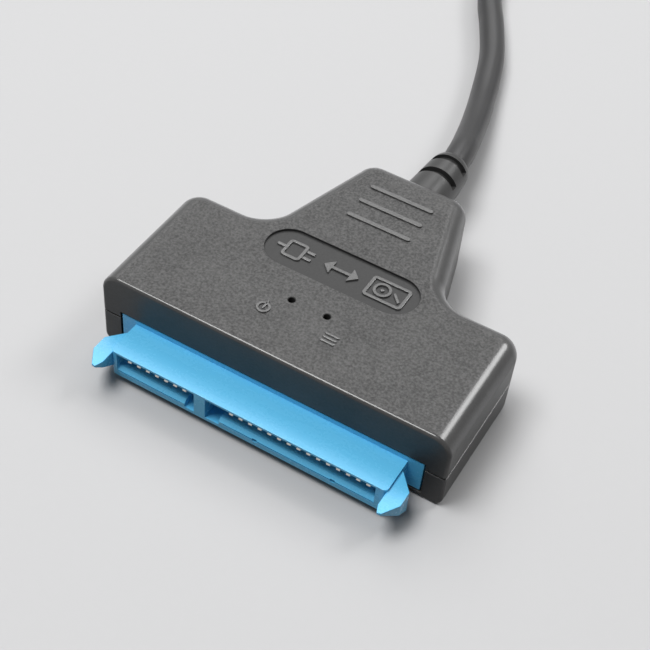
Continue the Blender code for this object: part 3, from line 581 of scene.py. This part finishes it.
def makePlugShell():
    width, tall = plug["shell"]
    front = plug["back"] - plug["tail"] - plug["body"][2]
    mouth, seat, sheet = front - plug["reach"], front + plug["seat"], plug["sheet"]
    shell = meshObject("plug_case", barAlongY(width, tall, plug["shellCorner"], mouth, seat), "steel")
    inside = barAlongY(width - 2 * sheet, tall - 2 * sheet, plug["insideCorner"], mouth - 1, seat + 1)
    steps = [("DIFFERENCE", inside)]
    for side in (-1, 1):
        x = plug["x"] + side * plug["windowSpacing"] / 2
        y = mouth + plug["windowBack"]
        half = plug["window"] / 2
        square = rectangle(x - half, y - half, x + half, y + half, plug["windowCorner"])
        steps.append(("DIFFERENCE", thicken(plate(square, 3), -1.0, 9.0)))
    half, deep = plug["seam"]
    seam = block(
        (plug["x"] - half, mouth - 1, plug["height"] - tall),
        (plug["x"] + half, seat + 1, plug["height"] - tall / 2 + deep),
    )
    carve(shell, *steps, ("DIFFERENCE", seam))
    bm = edit(shell)
    soften(bm, edgesWhere(bm, lambda at: abs(at.y - mouth) < 1e-3), plug["shellEdge"], 2)
    putBack(shell, bm)
    return ready(shell, "plug_steel", "plug_shell", angle=32)


def makeTongue():
    front = plug["back"] - plug["tail"] - plug["body"][2]
    mouth, seat = front - plug["reach"], front + plug["seat"]
    half = plug["shell"][0] / 2 - plug["sheet"] - plug["tongueGap"]
    tall = plug["shell"][1] / 2 - plug["sheet"] - plug["tongueGap"]
    low, high = plug["height"] - tall, plug["height"] + tall
    x0, x1 = plug["x"] - half, plug["x"] + half
    start = mouth + plug["tongueBack"]
    blade = block((x0, start, high - plug["tongue"]), (x1, seat, high), plug["tongueEdge"], 3)
    tongue = meshObject("plug_insulator", blade, "blue")
    holder = block((x0, seat - plug["block"], low), (x1, seat, high - plug["blockDrop"]), plug["blockEdge"])
    carve(tongue, ("UNION", holder))
    return ready(tongue, "blue_plastic", "plug_tongue")


plugGrip, plugCase, plugInsulator = makeGrip(), makePlugShell(), makeTongue()
cordNodes = ["usb_contact_%d" % k for k in range(1, 5)]
cordNodes += ["usb_fast_contact_%d" % k for k in range(1, 6)]
[plugGrip, plugCase, plugInsulator] + [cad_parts[name] for name in cordNodes]
print("plug made")

# Casing: two moulded halves, parted at mid height
casing = {
    "height": 11.0, "front": -18.40, "back": 18.15, "headWidth": 45.9, "headDepth": 19.05,
    "neckEnd": 14.2, "taper": radians(15.7), "headCorner": 2.7, "insideCorner": 4.3, "neckCorner": 2.6,
    "topEdge": 2.5, "baseEdge": 1.0, "frontEdge": 0.45, "planAhead": 4,
    "wall": 1.6, "frontWall": 1.85, "roof": 1.5, "floor": 1.3,
    "parting": 4.9, "partingGap": 0.2, "partingEdge": 0.12, "fit": 0.2,
    "mouthHalf": 20.2, "mouthLow": 1.0, "mouthHigh": 5.70, "throat": 3.05, "throatHeight": 5.2,
    "postX": 17.6, "postBack": 13.65, "postRadius": 1.7, "pin": 0.9, "pinReach": 1.8,
    "rearPostX": 5.6, "rearPostY": 12.75, "rearPostRadius": 1.4, "roofRoot": 0.7, "floorRoot": 0.6,
    "boardTop": 3.05, "boardThick": 1.0,
}
panel = {
    "length": 20.4, "width": 6.3, "y": -2.25, "depth": 0.3, "rim": 0.12,
    "hole": 0.45, "holeSpacing": 4.72, "holeY": -9.65, "countersink": 0.08,
    "bars": 3, "barLength": 8.8, "barWidth": 0.6, "barHeight": 0.2, "barEdge": 0.18, "barY": 9.85,
    "barPitch": 3.03,
}


def casingPlan(inset, front):
    shoulder = casing["front"] + casing["headDepth"] - inset
    back = casing["back"] - inset
    half = casing["headWidth"] / 2 - inset

    def neckHalf(y):
        widened = casing["neckEnd"] / 2 + (casing["back"] - y) * tan(casing["taper"])
        return widened - inset / cos(casing["taper"])

    right = [
        (half, front, 0),
        (half, shoulder, casing["headCorner"] - inset),
        (neckHalf(shoulder), shoulder, casing["insideCorner"] + inset),
        (neckHalf(back), back, casing["neckCorner"] - inset),
    ]
    return right + [(-x, y, radius) for x, y, radius in reversed(right)]


def casingHalf(name, rim, face, cavity, edge):
    front, wall, gap = casing["front"], casing["frontWall"], casing["fit"]
    bm = thicken(plate(casingPlan(0, front - casing["planAhead"]), 10), min(rim, face), max(rim, face))
    soften(bm, edgesWhere(bm, lambda at: abs(at.z - face) < 1e-3), edge, 12)
    bmesh.ops.bisect_plane(
        bm, geom=bm.verts[:] + bm.edges[:] + bm.faces[:], plane_co=point(0, front), plane_no=(0, -1, 0),
        clear_outer=True,
    )
    closeHoles(bm)

    def onRim(at):
        return abs(at.z - rim) < 1e-3

    frontEdges = edgesWhere(bm, lambda at: abs(at.y - front) < 1e-3)
    frontEdges = [edge for edge in frontEdges if not all(onRim(vert.co / mm) for vert in edge.verts)]
    soften(bm, frontEdges, casing["frontEdge"], 5)
    soften(bm, edgesWhere(bm, onRim), casing["partingEdge"], 2)
    half = meshObject(name, bm, "casing")
    beyond = rim * 2 - cavity
    inside = plate(casingPlan(casing["wall"], front + wall), 6)
    inside = thicken(inside, min(beyond, cavity), max(beyond, cavity))
    mouth = block(
        (-casing["mouthHalf"] - gap, front - 2, casing["mouthLow"] - gap),
        (casing["mouthHalf"] + gap, front + wall + gap, casing["mouthHigh"] + gap),
    )
    back, radius = casing["back"], casing["throat"]
    throat = spun(
        [(back - 3, 0.0), (back - 3, radius), (back + 2, radius), (back + 2, 0.0)],
        casing["throatHeight"], 48, closed=False,
    )
    carve(half, ("DIFFERENCE", inside), ("DIFFERENCE", mouth), ("DIFFERENCE", throat))
    return half


def sharpEdges(bm, inside, least=40):
    return [edge for edge in edgesWhere(bm, inside) if edge.calc_face_angle(0.0) > radians(least)]


def stadium(length, width, x, y):
    return rectangle(x - length / 2, y - width / 2, x + length / 2, y + width / 2, width / 2 - 0.001)


def makeTop():
    height, gap = casing["height"], casing["fit"]
    rim = casing["parting"] + casing["partingGap"] / 2
    roof, root = height - casing["roof"], height - casing["roofRoot"]
    top = casingHalf("casing_top", rim, height, roof, casing["topEdge"])
    steps = []
    socket, reach = casing["pin"] + gap, gap + casing["pinReach"]
    for side in (-1, 1):
        x, y = side * casing["postX"], casing["front"] + casing["postBack"]
        low = casing["boardTop"] + gap
        steps.append(("UNION", rod(x, y, low, root, casing["postRadius"])))
        steps.append(("DIFFERENCE", rod(x, y, low - 2 * gap, low + reach, socket)))
        x, y = side * casing["rearPostX"], casing["rearPostY"]
        steps.append(("UNION", rod(x, y, rim, root, casing["rearPostRadius"])))
        steps.append(("DIFFERENCE", rod(x, y, rim - gap, rim + reach, socket)))
    sunk = plate(stadium(panel["length"], panel["width"], 0, panel["y"]), 16)
    steps.append(("DIFFERENCE", thicken(sunk, height - panel["depth"], height + 1)))
    hole, sink, y = panel["hole"], panel["countersink"], panel["holeY"]
    for side in (-1, 1):
        x = side * panel["holeSpacing"] / 2
        steps.append(("DIFFERENCE", rod(x, y, roof - 1, height + 1, hole)))
        steps.append(("DIFFERENCE", rod(x, y, height - sink, height + sink, hole, hole + 2 * sink)))
    for k in range(panel["bars"]):
        y = panel["barY"] + (k - 1) * panel["barPitch"]
        bar = plate(stadium(panel["barLength"], panel["barWidth"], 0, y), 6)
        bar = thicken(bar, root, height + panel["barHeight"])
        soften(bar, edgesWhere(bar, lambda at: at.z > height + panel["barHeight"] / 2), panel["barEdge"], 4)
        steps.append(("UNION", bar))
    carve(top, *steps)
    bm = edit(top)
    half, wide = panel["length"] / 2 + 0.05, panel["width"] / 2 + 0.05

    def overPanel(at):
        return abs(at.x) < half and abs(at.y - panel["y"]) < wide

    rimEdges = sharpEdges(bm, lambda at: abs(at.z - height) < 1e-3 and overPanel(at))
    soften(bm, rimEdges, panel["rim"], 3)
    putBack(top, bm)
    # the panel floor takes the panel finish; the raised grip bars take the lighter finish, whose colour is a
    # painted highlight
    for finish in ("panel", "raised"):
        top.data.materials.append(finishes[finish])
    for face in top.data.polygons:
        at = face.center / mm
        onFloor = face.normal.z > 0.9 and abs(at.z - height + panel["depth"]) < 1e-3 and overPanel(at)
        face.material_index = 1 if onFloor else 2 if at.z > height + 0.02 else 0
    return ready(top, "casing_plastic", "top_shell", angle=28)


def makeBase():
    rim = casing["parting"] - casing["partingGap"] / 2
    base = casingHalf("casing_base", rim, 0.0, casing["floor"], casing["baseEdge"])
    root, board, reach, pin = casing["floorRoot"], casing["boardTop"], casing["pinReach"], casing["pin"]
    steps = []
    for side in (-1, 1):
        x, y = side * casing["postX"], casing["front"] + casing["postBack"]
        under = board - casing["boardThick"] - casing["fit"]
        steps.append(("UNION", rod(x, y, root, under, casing["postRadius"])))
        steps.append(("UNION", rod(x, y, root, board + casing["fit"] + reach, pin)))
        x, y = side * casing["rearPostX"], casing["rearPostY"]
        steps.append(("UNION", rod(x, y, root, rim, casing["rearPostRadius"])))
        steps.append(("UNION", rod(x, y, root, rim + casing["partingGap"] + reach, pin)))
    carve(base, *steps)
    return ready(base, "casing_plastic", "bottom_shell", angle=28)


makeTop()
makeBase()
print("casing made")

# Raised signs in place of words: plug, transfer and drive on the panel, power and activity by the lamps
signs = {
    "sunk": 0.25, "stroke": 0.44, "height": 0.22, "edge": 0.13, "panelX": 6.2,
    "drive": (5.2, 3.6, 0.5), "disc": (0.65, 1.15), "hub": (0.25, 0.24),
    "reader": ((1.85, -1.05, 0.1), (1.95, -0.6, 0.1), (0.95, 0.45, 0.08), (0.7, 0.2, 0.08)),
    "arrows": (2.35, 1.15), "arrowCorners": (0.05, 0.06),
    "plug": (0.2, 2.7, 3.0, 0.5), "prongs": (1.2, 2.3, 0.35), "cord": (2.6, 1.5),
    "lampX": 4.4, "lampY": -12.55, "lampStroke": 0.28, "lampHeight": 0.18, "lampEdge": 0.09,
    "power": (0.85, 0.2, 1.25), "activity": (0.9, 0.45), "barCorner": 0.08,
}


def raised(name, shapes, floor, height, edge):
    # each shape is a plan outline and, where it is hollow, the outline of its inside
    pieces = []
    for outer, *inner in shapes:
        # the signs take the lighter raised finish, whose colour is a painted highlight on the same black
        # plastic
        piece = meshObject(name, thicken(plate(outer, 6), floor - signs["sunk"], floor + height), "raised")
        if inner:
            carve(piece, *(("DIFFERENCE", thicken(plate(hole, 6), floor - 1, floor + 1)) for hole in inner))
        bm = edit(piece)
        soften(bm, sharpEdges(bm, lambda at: abs(at.z - floor - height) < 1e-3), edge, 2)
        putBack(piece, bm)
        pieces.append(piece)
    bm = bmesh.new()
    for piece in pieces:
        bm.from_mesh(piece.data)
        bpy.data.objects.remove(piece, do_unlink=True)
    return ready(meshObject(name, bm, "raised"), "casing_plastic")


def ring(x, y, radius, stroke):
    inner = radius - stroke
    return (
        rectangle(x - radius, y - radius, x + radius, y + radius, radius - 0.001),
        rectangle(x - inner, y - inner, x + inner, y + inner, inner - 0.001),
    )


def frameShape(x, y, wide, tall, corner, stroke):
    outer = rectangle(x - wide / 2, y - tall / 2, x + wide / 2, y + tall / 2, corner)
    wide, tall = wide - 2 * stroke, tall - 2 * stroke
    return outer, rectangle(x - wide / 2, y - tall / 2, x + wide / 2, y + tall / 2, corner - stroke * 0.8)


def bar(x0, y0, x1, y1):
    return (rectangle(x0, y0, x1, y1, signs["barCorner"]),)


def arrows(x, y, reach, head, stroke):
    half, neck = stroke / 2, x + reach - head
    inner, outer = signs["arrowCorners"]
    right = [
        (neck, y - half, inner), (neck, y - head, outer), (x + reach, y, outer), (neck, y + head, outer),
        (neck, y + half, inner),
    ]
    return (right + [(2 * x - px, 2 * y - py, radius) for px, py, radius in right],)


def makeSigns():
    stroke, y, x = signs["stroke"], panel["y"], signs["panelX"]
    floor = casing["height"] - panel["depth"]
    back, radius = signs["disc"]
    half, corner = signs["hub"]
    drive = [
        frameShape(x, y, *signs["drive"], stroke),
        ring(x - back, y, radius, stroke * 0.8),
        (rectangle(x - back - half, y - half, x - back + half, y + half, corner),),
        ([(x + right, y + up, corner) for right, up, corner in signs["reader"]],),
    ]
    transfer = [arrows(0, y, *signs["arrows"], stroke)]
    back, wide, tall, corner = signs["plug"]
    near, far, apart = signs["prongs"]
    end, start = signs["cord"]
    plugSign = [
        frameShape(-x - back, y, wide, tall, corner, stroke),
        bar(-x + near, y + apart, -x + far, y + apart + stroke),
        bar(-x + near, y - apart - stroke, -x + far, y - apart),
        bar(-x - end, y - stroke / 2, -x - start, y + stroke / 2),
    ]
    raised("panel_signs", drive + transfer + plugSign, floor, signs["height"], signs["edge"])
    stroke, y, x = signs["lampStroke"], signs["lampY"], signs["lampX"]
    radius, low, high = signs["power"]
    power = [ring(-x, y, radius, stroke), bar(-x - stroke / 2, y - low, -x + stroke / 2, y + high)]
    half, apart = signs["activity"]
    activity = [
        bar(x - half, y + apart, x + half, y + apart + stroke),
        bar(x - half, y - stroke / 2, x + half, y + stroke / 2),
        bar(x - half, y - apart - stroke, x + half, y - apart),
    ]
    raised("lamp_signs", power + activity, casing["height"], signs["lampHeight"], signs["lampEdge"])


makeSigns()
print("signs raised")

# Drive receptacle: blue moulding with a flange, a nose, two guide arms and a keyed slot
receptacle = {
    "flange": (20.2, -18.32, 1.0, 5.68), "rear": -12.15, "fit": 0.2,
    "flangeEdge": 0.12, "seatGap": 0.02, "inset": 0.2, "coreLow": 0.4, "footLow": 0.2,
    "foot": (0.5, 0.7, 0.1),
    "noseHalf": 18.23, "noseFront": -23.25, "noseLow": 1.17, "noseHigh": 4.97, "noseCorner": 0.45,
    "edge": 0.06, "mouthLeft": -17.45, "mouthRight": 16.95, "mouthLow": 2.55, "mouthHigh": 4.05,
    "mouthDepth": 6.4,
    "recess": (0.90, 4.0, 4.68), "leadIn": 0.42, "lipSpare": 0.3, "mouthCorner": 0.1,
    "divider": (-6.7, -5.2), "signalKey": 1.3, "powerKey": 1.9, "keyLow": 1.6, "keySpare": 0.02,
    "armFrom": -18.15, "armTop": 4.6, "armLow": 1.3, "armSpread": 2.07, "armRoot": 1.2, "armShoulder": 3.57,
    "armStraight": 2.1, "armReach": 7.8, "armEdge": 0.09, "armSunk": 0.1,
    "tipThick": 0.35, "tipOuter": 0.8, "tipInner": 0.3, "tipChamfer": 1.0, "tipSlant": 0.1,
    "contactPitch": 1.27, "firstContact": -15.875, "signals": 7, "powers": 15, "groupStep": 6.35,
    "channelHalf": 0.35, "channel": (3.9, 4.68),
    "grooveHeight": 2.02, "groove": 0.16, "grooveDepth": 0.12, "grooveEnd": 0.6,
    "windows": (1.50, 11.72), "windowSize": (0.6, 0.42, 1.6), "windowHeight": 1.97,
}


def alongY(corners, front, back, segments=4):
    # an outline in x and height, drawn out from front to back
    bm = thicken(plate(corners, segments), -back, -front)
    bmesh.ops.rotate(bm, verts=bm.verts, cent=(0, 0, 0), matrix=Matrix.Rotation(pi / 2, 3, "X"))
    bmesh.ops.recalc_face_normals(bm, faces=bm.faces)
    return bm


def alongX(corners, left, right):
    # an outline in y and height, drawn out from left to right
    bm = thicken(plate(corners), left, right)
    turned = Matrix(((0, 0, 1, 0), (1, 0, 0, 0), (0, 1, 0, 0), (0, 0, 0, 1)))
    bmesh.ops.transform(bm, verts=bm.verts, matrix=turned)
    bmesh.ops.recalc_face_normals(bm, faces=bm.faces)
    return bm


def guideArm(side):
    r = receptacle
    root, front, sunk = r["noseHalf"], r["armFrom"], r["armSunk"]
    shoulder = front - r["armShoulder"]
    tip = front - r["armReach"]
    plan = [
        (root - sunk, front - r["armRoot"] + sunk), (root - sunk, tip + r["tipChamfer"]),
        (root + r["tipInner"], tip), (root + r["tipOuter"], tip + r["tipSlant"]),
        (root + r["armSpread"], shoulder - r["armStraight"]), (root + r["armSpread"], shoulder),
    ]
    bm = thicken(plate([(-x, y, 0) for x, y in plan]), r["armLow"], r["armTop"])
    slope = Vector((0, shoulder - tip, r["armTop"] - r["tipThick"] - r["armLow"]))
    bmesh.ops.bisect_plane(
        bm, geom=bm.verts[:] + bm.edges[:] + bm.faces[:], plane_co=point(0, shoulder, r["armLow"]),
        plane_no=(0, -slope.z, -slope.y), clear_outer=True,
    )
    closeHoles(bm)
    soften(bm, [edge for edge in bm.edges if edge.calc_face_angle(0.0) > radians(35)], r["armEdge"], 2)
    # made for the data side, and mirrored for the power side
    bmesh.ops.scale(bm, verts=bm.verts, vec=(-side, 1, 1))
    return bm


def contactPlaces():
    r = receptacle
    first, pitch = r["firstContact"], r["contactPitch"]
    power = first + (r["signals"] - 1) * pitch + r["groupStep"]
    return [first + k * pitch for k in range(r["signals"])] + [power + k * pitch for k in range(r["powers"])]


def makeReceptacle():
    r = receptacle
    half, face, low, high = r["flange"]
    nose, front, rear, inset = r["noseHalf"], r["noseFront"], r["rear"], r["inset"]
    seat = casing["front"] + casing["frontWall"] + r["fit"]
    flange = block((-half, face, low), (half, seat - r["seatGap"], high), r["flangeEdge"], 2)
    body = meshObject("drive_receptacle", flange, "blue")
    root, rounded, top = face + inset, r["noseCorner"], r["noseHigh"]
    snout = plate([(-nose, front, rounded), (nose, front, rounded), (nose, root, 0), (-nose, root, 0)], 4)
    snout = thicken(snout, r["noseLow"], top)
    soften(snout, edgesWhere(snout, lambda at: abs(at.z - top) < 1e-3 and at.y < face), r["edge"], 2)
    under = casing["floor"] + r["coreLow"]
    core = block((-half + inset, root, under), (half - inset, rear - inset, high - inset))
    wider, higher, footEdge = r["foot"]
    under = casing["floor"] + r["footLow"]
    foot = block((-half - wider, seat, under), (half + wider, rear, high + higher), footEdge)
    steps = [("UNION", piece) for piece in (core, foot, snout, guideArm(-1), guideArm(1))]

    def cutBlock(low, high):
        steps.append(("DIFFERENCE", block(low, high)))

    ahead, (left, right) = front - 2, r["divider"]
    start, end, corner = r["mouthLeft"], r["mouthRight"], r["mouthCorner"]
    floor, roof, key = r["mouthLow"], r["mouthHigh"], r["keyLow"]
    signalEnd, powerStart = left - r["signalKey"], right + r["powerKey"]
    signalSlot = [
        (start, floor, corner), (signalEnd, floor, 0), (signalEnd, key, corner), (left, key, corner),
        (left, roof, 0), (start, roof, 0),
    ]
    powerSlot = [
        (right, roof, 0), (right, key, corner), (powerStart, key, corner), (powerStart, floor, 0),
        (end, floor, corner), (end, roof, 0),
    ]
    for outline in (signalSlot, powerSlot):
        steps.append(("DIFFERENCE", alongY(outline, ahead, front + r["mouthDepth"])))
    deep, under, over = r["recess"]
    for x0, x1 in ((start, left), (right, end)):
        cutBlock((x0, ahead, under), (x1, front + deep, over))
    comb, thin, (under, over) = bmesh.new(), r["channelHalf"], r["channel"]
    for x in contactPlaces():
        tooth = meshObject("tooth", block((x - thin, ahead, under), (x + thin, rear + 2, over)))
        comb.from_mesh(tooth.data)
        bpy.data.objects.remove(tooth, do_unlink=True)
    steps.append(("DIFFERENCE", comb))
    height, thin, deep = r["grooveHeight"], r["groove"] / 2, r["grooveDepth"]
    for x0, x1 in ((start, signalEnd - r["grooveEnd"]), (powerStart + r["grooveEnd"], end)):
        cutBlock((x0, front - 1, height - thin), (x1, front + deep, height + thin))
    wide, tall, deep = r["windowSize"]
    low, high = r["windowHeight"] - tall / 2, r["windowHeight"] + tall / 2
    for x in r["windows"]:
        cutBlock((x - wide / 2, front - 1, low), (x + wide / 2, front + deep, high))
    cut, spare = r["leadIn"], r["lipSpare"]
    for x0, x1 in ((start, signalEnd + r["keySpare"]), (powerStart - r["keySpare"], end)):
        lip = [
            (front - spare, floor - cut - spare, 0), (front + cut + spare, floor + spare, 0),
            (front - spare, floor + spare, 0),
        ]
        steps.append(("DIFFERENCE", alongX(lip, x0, x1)))
    carve(body, *steps)
    return ready(body, "blue_plastic", "sata_housing", angle=28)


makeReceptacle()
print("receptacle made")

# Strain relief: a soft sleeve whose two pairs of slots let it bend with the lead
relief = {
    "front": 14.95, "flange": 3.75, "throat": 2.85, "base": 3.35, "end": 2.75, "bore": 2.15, "length": 10.8,
    "baseRound": 0.15, "tapered": (0.35, 0.85), "rounded": ((0.92, 0.05), (0.97, 0.22), (1.0, 0.55)),
    "slots": 2, "slotFirst": 5.5, "slotPitch": 3.4, "slotWidth": 1.15, "slotTop": 5.0,
    "core": 2.3, "web": radians(24), "edge": 0.10, "skin": (4.0, 1.2, 2.5),
}


def slotTool(y, start):
    half, core, top = relief["slotWidth"] / 2, relief["core"], relief["slotTop"]
    bm = bmesh.new()
    corners = [(y - half, core), (y + half, core), (y + half, top), (y - half, top)]
    verts = [bm.verts.new(point(radius * cos(start), at, radius * sin(start))) for at, radius in corners]
    edges = [bm.edges.new(pair) for pair in zip(verts, verts[1:] + verts[:1])]
    bmesh.ops.spin(
        bm, geom=verts + edges, cent=(0, 0, 0), axis=(0, -1, 0), angle=pi - 2 * relief["web"], steps=24,
        use_merge=False, use_duplicate=False,
    )
    bmesh.ops.translate(bm, verts=bm.verts, vec=point(0, 0, casing["throatHeight"]))
    closeHoles(bm)
    return bm


def makeRelief():
    back, front, height = casing["back"], relief["front"], casing["throatHeight"]
    inWall = back - casing["wall"] - casing["fit"]
    base, last = back + casing["fit"], back + relief["length"]
    wide, end, edge = relief["base"], relief["end"], relief["baseRound"]
    span, drop = last - base, wide - end
    outline = [
        (front, 0.0), (front, relief["flange"]), (inWall, relief["flange"]), (inWall, relief["throat"]),
        (base, relief["throat"]), (base, wide - edge), (base + edge, wide),
    ]
    outline += [(base + share * span, wide - share * drop) for share in relief["tapered"]]
    outline += [(base + share * span, end - less) for share, less in relief["rounded"]] + [(last, 0.0)]
    sleeve = meshObject("lead_sleeve", spun(outline, height, 72, closed=False), "sleeve")
    hole = [(front - 2, 0.0), (front - 2, relief["bore"]), (last + 2, relief["bore"]), (last + 2, 0.0)]
    steps = [("DIFFERENCE", spun(hole, height, 48, closed=False))]
    for k in range(relief["slots"]):
        y = back + relief["slotFirst"] + k * relief["slotPitch"]
        for start in (relief["web"], pi + relief["web"]):
            steps.append(("DIFFERENCE", slotTool(y, start)))
    carve(sleeve, *steps)
    bm = edit(sleeve)
    centre = Vector((0, 0, height))
    behind, ahead, depth = relief["skin"]

    def onSkin(at):
        away = (Vector((at.x, 0, at.z)) - centre).length
        return back + behind < at.y < last - ahead and away > depth

    soften(bm, sharpEdges(bm, onSkin, 50), relief["edge"], 2)
    putBack(sleeve, bm)
    return ready(sleeve, "soft_black", "strain_relief", angle=35)


makeRelief()
print("strain relief made")

# The pieces that stay as the frame has them get their finishes
nodeFinishes = {
    "signal_contact": "gold", "power_contact": "gold", "usb_contact": "gold", "usb_fast_contact": "gold",
    "circuit_board": "board", "bridge_chip": "chip", "memory_chip": "chip", "regulator": "chip",
    "crystal": "tin", "power_coil": "ferrite", "input_capacitor": "tantalum", "tail_capacitor": "tantalum",
    "power_lamp": "lens", "access_lamp": "lens",
}
wireColours = ["red", "white", "green", "black", "blue", "yellow"]
for k in range(9):
    nodeFinishes["lead_wire_%d" % (k + 1)] = "wire_" + wireColours[k % 6]
for name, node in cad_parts.items():
    finish = nodeFinishes.get(name) or nodeFinishes.get(name.rstrip("0123456789").rstrip("_"))
    if finish:
        for slot in node.material_slots:
            slot.material = finishes[finish]
print("frame pieces finished")

# Table top and soft studio light
studio = {
    "floor": 1.6, "shown": (0.50, 0.50, 0.505), "bounced": (0.16, 0.16, 0.16), "fade": (0.30, 0.80),
    "world": 0.12, "surround": 0.55, "rays": ("Is Camera Ray", "Is Glossy Ray", "Is Transmission Ray"),
    "lights": {
        "key": {"place": (-0.33, 0.55, 0.80), "size": (0.90, 0.70), "power": 5.4},
        "overhead": {"place": (-0.27, -0.16, 0.85), "size": (0.42, 0.42), "power": 6.6},
        "behind": {"place": (0.36, 0.60, 0.66), "size": (0.32, 0.32), "power": 3.4},
    },
}


def makeFloor():
    finish = Finish("table_top", {"Roughness": 0.75, "IOR": 1.4})
    fine = finish.noise(finish.place(), 900, 3.0)
    seen, glossy, through = (finish.node("ShaderNodeLightPath", {}, output=ray) for ray in studio["rays"])
    plain = finish.blend(fine, tuple(v * 0.985 for v in studio["shown"]), studio["shown"])
    # far from the part the table fades into the pale surround
    away = finish.node("ShaderNodeVectorMath", {"operation": "LENGTH"}, finish.place(), output="Value")
    start, end = studio["fade"]
    far = finish.node(
        "ShaderNodeMapRange", {"interpolation_type": "SMOOTHSTEP"}, Value=away, From_Min=start, From_Max=end,
    )
    finish.dress(
        Base_Color=finish.blend((seen + glossy + through) > 0.5, studio["bounced"], plain), Alpha=1.0 - far,
    )
    finish.relief(fine, 0.04, 0.0001)
    bm = bmesh.new()
    bmesh.ops.create_grid(bm, x_segments=2, y_segments=2, size=studio["floor"])
    floor = meshObject("table_top", bm)
    floor.data.materials.append(finish.material)


def makeLights():
    target = Vector((0, 0, 0))
    for name, facts in studio["lights"].items():
        data = bpy.data.lights.new(name, "AREA")
        data.shape = "RECTANGLE"
        data.size, data.size_y = facts["size"]
        data.energy = facts["power"]
        lamp = bpy.data.objects.new(name, data)
        bpy.context.scene.collection.objects.link(lamp)
        place = Vector(facts["place"])
        turn = (target - place).to_track_quat("-Z", "Y").to_matrix().to_4x4()
        lamp.matrix_world = Matrix.Translation(place) @ turn
    world = bpy.data.worlds.new("studio")
    world.use_nodes = True
    # the same pale surround for the camera and for mirrored or clear surfaces, with soft fill for the rest
    tree = world.node_tree
    rays = tree.nodes.new("ShaderNodeLightPath")
    share = rays.outputs[studio["rays"][0]]
    for ray in studio["rays"][1:]:
        both = tree.nodes.new("ShaderNodeMath")
        both.operation = "MAXIMUM"
        tree.links.new(share, both.inputs[0])
        tree.links.new(rays.outputs[ray], both.inputs[1])
        share = both.outputs[0]
    level = tree.nodes.new("ShaderNodeMapRange")
    level.inputs["To Min"].default_value = studio["world"]
    level.inputs["To Max"].default_value = studio["surround"]
    tree.links.new(share, level.inputs["Value"])
    tree.nodes["Background"].inputs["Color"].default_value = (1, 1, 1, 1)
    tree.links.new(level.outputs["Result"], tree.nodes["Background"].inputs["Strength"])
    bpy.context.scene.world = world


makeFloor()
makeLights()
bpy.context.scene.view_settings.view_transform = "Standard"
print("studio lit")
